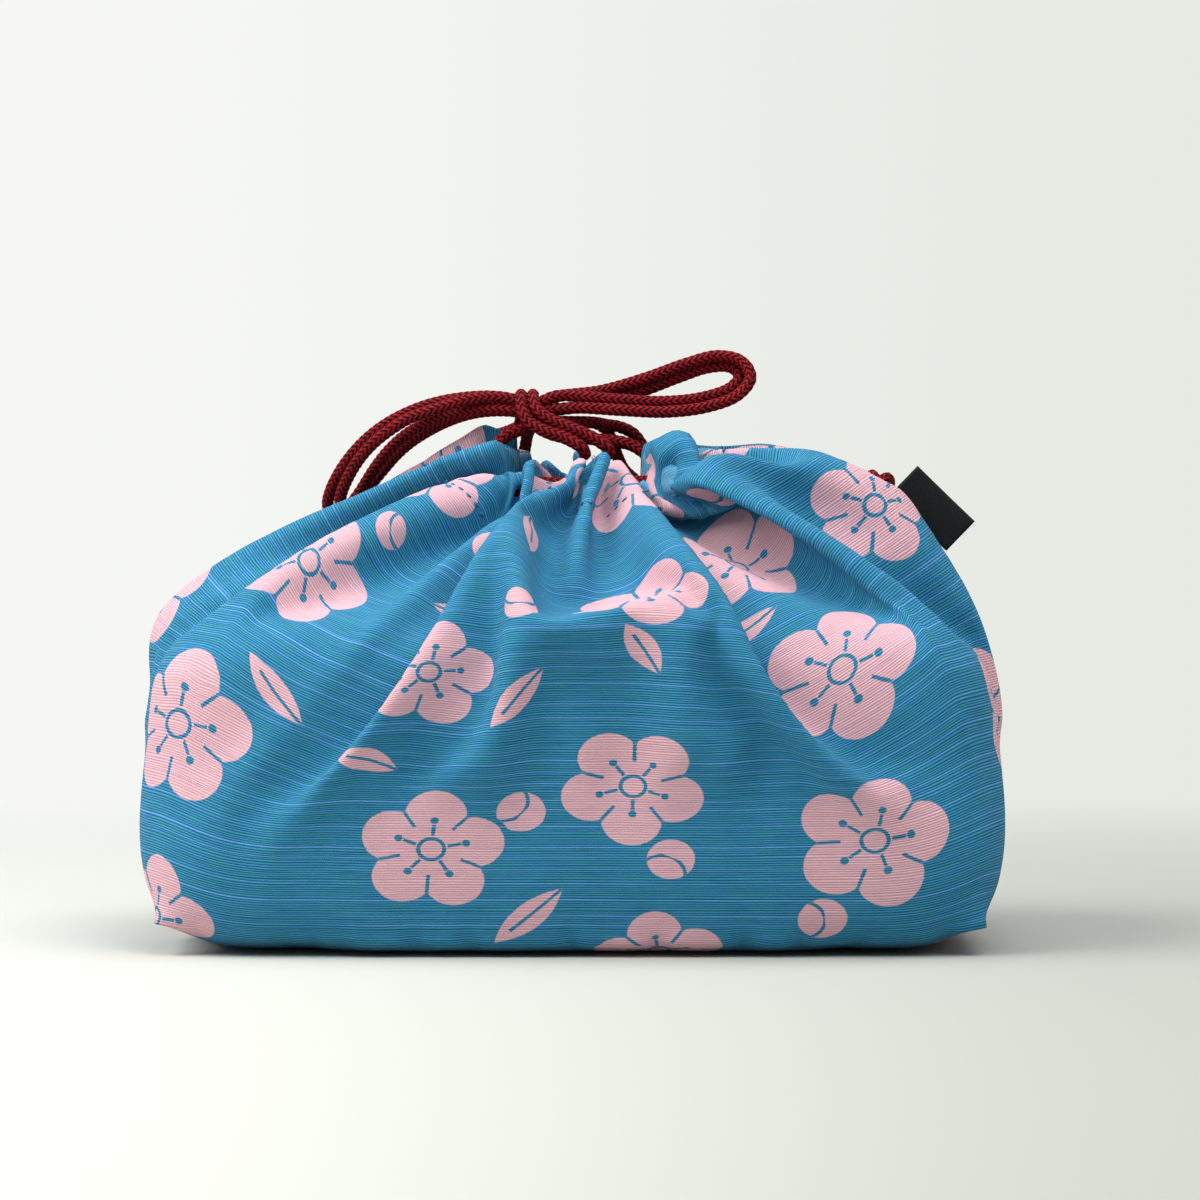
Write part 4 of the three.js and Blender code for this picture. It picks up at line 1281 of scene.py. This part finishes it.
# %% Wraps and folded tips
TURNS = [
    [(-3.0, 3.6, -3.4), (-2.8, 4.4, 0.6), (-2.6, 3.0, 4.0), (-2.6, 0.0, 5.2), (-2.5, -3.0, 4.2), (-2.1, -4.6, 1.2),
     (-0.4, -5.4, -1.8), (3.0, -6.0, -3.7), (7.3, -6.4, -5.2), (10.6, -6.8, -6.8)],
    [(0.0, 3.6, -3.4), (0.1, 4.4, 0.6), (0.2, 3.0, 4.0), (0.3, 0.0, 5.2), (0.4, -3.0, 4.2), (1.1, -4.6, 1.8),
     (3.6, -5.2, -0.5), (7.6, -5.4, -2.4), (12.2, -5.6, -4.2), (16.2, -6.0, -6.2)],
]
TIPS = [(12.4, -9.0), (18.4, -8.8)]


def turn_line(over, tip):
    """One turn of the knot, down to its tip and back behind the same way."""
    x, z = tip
    y = over[-1][1]
    fold = [(x, y, z + 0.9), (x + 0.7, y + 1.5, z - 0.7), (x, y + 3.1, z + 0.9)]
    back = [(px, py + 3.3, pz) for px, py, pz in over[:5:-1]]
    return curve_through(knot_points(*over, *fold, *back), LINE_STEP)


knot_shape, second_turn = (braid(even_steps(turn_line(over, tip), STEP)) for over, tip in zip(TURNS, TIPS))
turn_mesh = bpy.data.meshes.new("turn")
second_turn.to_mesh(turn_mesh)
second_turn.free()
knot_shape.from_mesh(turn_mesh)
bpy.data.meshes.remove(turn_mesh)
bow_knot = piece("bow_knot", knot_shape, [crimson], "knot", ["bow_knot"])
print("knot:", len(bow_knot.data.polygons), "faces")


# %% [markdown]
# ## Label
# A plain woven ribbon is folded in half and caught in the right side seam. It is bare here. A grid bent round the
# fold makes both leaves in one piece.

# %% Fold the label
LABEL_AT = Vector((87.706, 0.0, 104.162))
LABEL_ALONG, LABEL_OUT = Vector((0.7179, 0.0, -0.6961)), Vector((0.6961, 0.0, 0.7179))
LABEL_LENGTH, LABEL_REACH, LABEL_ROOT, LABEL_HALF = 19.5, 5.3, 4.6, 0.5
LABEL_WIDE, LABEL_DEEP = 26, 40
CURL, CURL_SWING, CURL_START, LEAN, SPREAD = 0.7, 2.4, 0.4, 0.25, 0.25
RIBBON_PICK, RIBBON_END, RIBBON_THICK, SELVEDGE = 0.36, 0.42, 0.32, 0.8


def fold_label():
    shape = bmesh.new()
    bmesh.ops.create_grid(shape, x_segments=LABEL_WIDE, y_segments=LABEL_DEEP, size=1.0)
    layout = shape.loops.layers.uv.new("Ribbon")
    leaf_length = LABEL_ROOT + LABEL_REACH - LABEL_HALF
    whole = 2 * leaf_length + math.pi * LABEL_HALF
    flat = {v: ((v.co.x + 1) / 2, (v.co.y + 1) / 2) for v in shape.verts}
    for face in shape.faces:
        for loop in face.loops:
            across, along = flat[loop.vert]
            loop[layout].uv = (across * LABEL_LENGTH * MM, along * whole * MM)
    for vert, (across, along) in flat.items():
        way = along * whole
        if way < leaf_length:
            out, side = way - LABEL_ROOT, -LABEL_HALF
        elif way > leaf_length + math.pi * LABEL_HALF:
            out, side = whole - way - LABEL_ROOT, LABEL_HALF
        else:
            angle = (way - leaf_length) / LABEL_HALF
            out = leaf_length - LABEL_ROOT + LABEL_HALF * math.sin(angle)
            side = -LABEL_HALF * math.cos(angle)
        lift = max(0.0, out) / LABEL_REACH
        curl = CURL * lift * lift * math.sin(CURL_SWING * across + CURL_START) - LEAN * lift
        vert.co = LABEL_AT + LABEL_ALONG * ((across - 0.5) * LABEL_LENGTH) + LABEL_OUT * out
        vert.co.y += side * (1.0 + SPREAD * lift) + curl
    bmesh.ops.recalc_face_normals(shape, faces=shape.faces)
    return shape


def ribbon():
    finish = Finish("label_ribbon")
    across, along = finish.place("Ribbon")
    row = (along / RIBBON_PICK).floor()
    twill = abs(((across / RIBBON_END + row * 0.5) * math.pi).sin())
    rib = abs((along / RIBBON_PICK * math.pi).sin())
    height = twill * 0.5 + rib * 0.5
    edge = (abs(across - LABEL_LENGTH / 2) - (LABEL_LENGTH / 2 - SELVEDGE)).ease(0.0, 0.2)
    # painted shade: the low places of the weave take the darker colour
    shade = finish.blend(height, colour(3, 3, 5), colour(15, 17, 21))
    finish.set(Base_Color=finish.blend(edge * 0.4, shade, colour(24, 27, 32)), Roughness=0.72 - twill * 0.1)
    finish.set(Normal=finish.bump(height, 0.12, 0.8), Specular_IOR_Level=0.22)
    return finish


label = piece("label", fold_label(), [ribbon()], "label", ["label"])
label_thick = label.modifiers.new("Thickness", "SOLIDIFY")
label_thick.thickness, label_thick.offset = RIBBON_THICK * MM, 0.0
print("label:", LABEL_LENGTH, "mm wide,", LABEL_REACH, "mm clear of the seam")


# %% [markdown]
# ## Seam tapes and stitches
# Inside, the raw edges are bound with cotton tape, and outside a row of small stitches holds the hem. A tape is a
# strip along the seam line it covers. A stitch is a short rounded bead of thread, half sunk in the cloth.

# %% Tapes
TAPE, TAPE_STRIPS, TAPE_THICK, TAPE_INSET = 7.0, 3, 1.2, 1.5
SEAM_FROM, SEAM_SHORT, CORNER_SHARE, BASE_SHARE = 8.0, 14.0, 0.85, 0.86


def seam_line(wanted, order):
    found = sorted((vert for vert in bag.verts if wanted(vert)), key=order)
    return [(vert.co - vert.normal * TAPE_INSET, -1.0 * vert.normal) for vert in found]


def cotton_tape():
    finish = Finish("seam_tape")
    across, along = finish.place("Tape")
    height = abs((along / 0.7 * math.pi).sin()) * 0.6 + abs((across / 0.6 * math.pi).sin()) * 0.4
    # painted shade: the low places of the weave take the darker blue
    finish.set(Base_Color=finish.blend(height, colour(24, 62, 88), colour(48, 96, 124)), Roughness=0.85)
    finish.set(Normal=finish.bump(height, 0.15, 0.8), Specular_IOR_Level=0.25)
    return finish


tape_finish = cotton_tape()


def tape(name, line, lean=None):
    shape = bmesh.new()
    count = len(line)
    bmesh.ops.create_grid(shape, x_segments=TAPE_STRIPS, y_segments=count - 1, size=1.0)
    layout = shape.loops.layers.uv.new("Tape")
    places = grid_places(shape, TAPE_STRIPS, count - 1)
    ways = [line_length([point for point, _ in line[:at + 1]]) for at in range(count)]
    for face in shape.faces:
        for loop in face.loops:
            side, at = places[loop.vert]
            loop[layout].uv = (side / TAPE_STRIPS * TAPE * MM, ways[at] * MM)
    for vert, (side, at) in places.items():
        point, inward = line[at]
        vert.co = point + (lean or inward) * (TAPE * side / TAPE_STRIPS)
    made = piece(name, shape, [tape_finish], "bag", [name])
    thick = made.modifiers.new("Thickness", "SOLIDIFY")
    thick.thickness, thick.offset = TAPE_THICK * MM, 0.0
    return made


def at_side(vert, side):
    return abs(vert[X] - side * HALF_LENGTH) < TINY


tapes = []
for side, word in ((1, "right"), (-1, "left")):
    tapes.append(tape(word + "_seam_tape", seam_line(
        lambda vert: at_side(vert, side) and abs(vert[Y]) < TINY and SEAM_FROM < vert[Z] < RISE - SLIT - SEAM_SHORT,
        lambda vert: vert[Z])))
    tapes.append(tape(word + "_corner_tape", seam_line(
        lambda vert: at_side(vert, side) and abs(vert[Y]) < CORNER_SHARE * HALF_DEPTH and vert[Z] < TINY,
        lambda vert: vert[Y]), Vector((-0.9 * side, 0.0, 0.44))))
tapes.append(tape("base_seam_tape", seam_line(
    lambda vert: abs(vert[Y]) < TINY and abs(vert[X]) < BASE_SHARE * HALF_LENGTH and vert[Z] < TINY,
    lambda vert: vert[X]), Vector((0.0, 0.98, 0.2))))
print("tapes:", ", ".join(made.name for made in tapes))


# %% Stitches along the hem
THREAD_LENGTH, THREAD, THREAD_PITCH, THREAD_RISE = 2.0, 0.36, 1.45, 0.12
OFF_CLOTH, ON_EDGE, BEAD_FACES = 0.5, 0.4, 20


def thread():
    finish = Finish("hem_thread")
    grain = finish.node("ShaderNodeTexNoise", None, {"Scale": 2500.0, "Detail": 2.0})
    finish.set(Base_Color=finish.blend(grain, colour(30, 84, 112), colour(60, 122, 150)), Roughness=0.7)
    return finish


thread_finish = thread()


def stitches(name, back):
    row = [vert for vert in bag.verts if vert[Z] > TINY and row_of(vert) == STITCH_ROW
           and (vert[Y] >= -TINY if back else vert[Y] <= TINY)]
    row.sort(key=lambda vert: way_round(vert[X], -abs(vert[Y])))
    line = [vert.co + vert.normal * THREAD_RISE for vert in row]
    spots = even_steps(line, THREAD_LENGTH * THREAD_PITCH)
    shape = bmesh.new()
    for a, b in zip(spots, spots[1:]):
        _, normal, _, apart = cloth_tree.find_nearest(a)
        along = (b - a).normalized()
        if apart > OFF_CLOTH or abs(along.dot(normal)) > ON_EDGE:
            continue
        side = normal.cross(along).normalized()
        axes = Matrix((along * (THREAD_LENGTH / 2), side * THREAD, along.cross(side) * THREAD))
        turn = axes.transposed().to_4x4()
        bmesh.ops.create_icosphere(shape, subdivisions=1, radius=1.0, matrix=Matrix.Translation(a) @ turn)
    bmesh.ops.recalc_face_normals(shape, faces=shape.faces)
    return piece(name, shape, [thread_finish], "bag", [])


front_stitches, back_stitches = stitches("front_hem_stitches", 0), stitches("back_hem_stitches", 1)
print("stitches:", len(front_stitches.data.polygons) // BEAD_FACES, "in front")


# %% [markdown]
# ## Stage
# A pale table under soft daylight from the upper left. The floor takes the shadow near the bag and fades into the
# pale background further off, only for what the camera sees, so that the light on the bag stays as it is.

# %% Floor and background
# The pale background colours are painted light and shade: brighter on the left, darker on the right.
PALE_LIT_LEFT, PALE_SHADED_RIGHT = colour(247, 248, 245), colour(230, 233, 226)
# The table colours are painted light and shade: lighter on the left, darker on the right.
TABLE_LIT_LEFT, TABLE_SHADED_RIGHT = colour(200, 202, 195), colour(172, 174, 167)
VIEW_HALF = 0.19
FADE_MIDDLE, FADE_FROM, FADE_TO = -0.35, 0.36, 0.95
FOOT_FROM, FOOT_TO = 0.1, 0.44
SKY_TINT, SKY_POWER = (0.93, 0.97, 1.0, 1.0), 0.32
FLOOR_HALF = 6.0


def floor_finish():
    finish = Finish("pale_floor")
    x, y, _ = finish.parts(finish.node("ShaderNodeTexCoord", out="Object"))
    far = (x * x + (y - FADE_MIDDLE) ** 2.0).root().ease(FADE_FROM, FADE_TO)
    seen = finish.node("ShaderNodeLightPath", out="Is Camera Ray")
    across, ahead = x - CAMERA_AT.x, y - CAMERA_AT.y
    sideways = (across / (across * across + ahead * ahead).root()).ease(-VIEW_HALF, VIEW_HALF)
    sideways = (sideways - 0.5) * ahead.ease(FOOT_FROM, FOOT_TO) + 0.5
    # painted light and shade: the table is lighter towards the left and darker towards the right
    table = finish.blend(sideways, TABLE_LIT_LEFT, TABLE_SHADED_RIGHT)
    finish.set(Base_Color=table, Roughness=0.9, Specular_IOR_Level=0.1)
    # painted light and shade in the glowing background: brighter on the left, darker on the right
    pale = finish.blend(sideways, PALE_LIT_LEFT, PALE_SHADED_RIGHT)
    glow = finish.node("ShaderNodeEmission", None, {"Color": pale, "Strength": 1.0})
    lit = Value(finish, finish.shader.outputs[0])
    finish.show(finish.node("ShaderNodeMixShader", None, {0: far * seen, 1: lit, 2: glow}), "Material Output")
    return finish


floor_shape = bmesh.new()
bmesh.ops.create_grid(floor_shape, x_segments=1, y_segments=1, size=FLOOR_HALF)
floor_mesh = bpy.data.meshes.new("floor")
floor_shape.to_mesh(floor_mesh)
floor_shape.free()
floor_mesh.materials.append(floor_finish().owner)
floor = bpy.data.objects.new("floor", floor_mesh)
scene.collection.objects.link(floor)

sky = Finish("daylight", world=True)
scene.world = sky.owner
sideways = sky.parts(sky.node("ShaderNodeTexCoord", out="Generated"))[0].ease(-VIEW_HALF, VIEW_HALF)
# painted light and shade in the background the camera sees: brighter on the left, darker on the right
sky.set(Color=sky.blend(sideways, PALE_LIT_LEFT, PALE_SHADED_RIGHT))
seen_sky = Value(sky, sky.shader.outputs[0])
lit_sky = sky.node("ShaderNodeBackground", None, {"Color": SKY_TINT, "Strength": SKY_POWER})
seen = sky.node("ShaderNodeLightPath", out="Is Camera Ray")
sky.show(sky.node("ShaderNodeMixShader", None, {0: seen, 1: lit_sky, 2: seen_sky}), "World Output")
print("background:", len(sky.tree.nodes), "nodes")


# %% Lights
def soft_light(name, at, towards, size, power, tint=(1.0, 1.0, 1.0)):
    data = bpy.data.lights.new(name, "AREA")
    data.shape, data.size, data.energy, data.color = "SQUARE", size, power, tint
    lamp = bpy.data.objects.new(name, data)
    lamp.location = at
    lamp.rotation_euler = (Vector(towards) - Vector(at)).to_track_quat("-Z", "Y").to_euler()
    scene.collection.objects.link(lamp)
    return lamp


lamps = [
    soft_light("window", (-0.85, -0.3, 0.9), (0.0, 0.0, 0.06), 0.9, 17.0, (1.0, 0.99, 0.97)),
    soft_light("front_fill", (0.6, -0.75, 1.05), (0.0, 0.0, 0.06), 0.9, 5.0),
    soft_light("above", (0.15, -0.1, 1.0), (0.0, 0.0, 0.05), 0.8, 7.5),
]
print("stage: floor and", len(lamps), "soft lights")
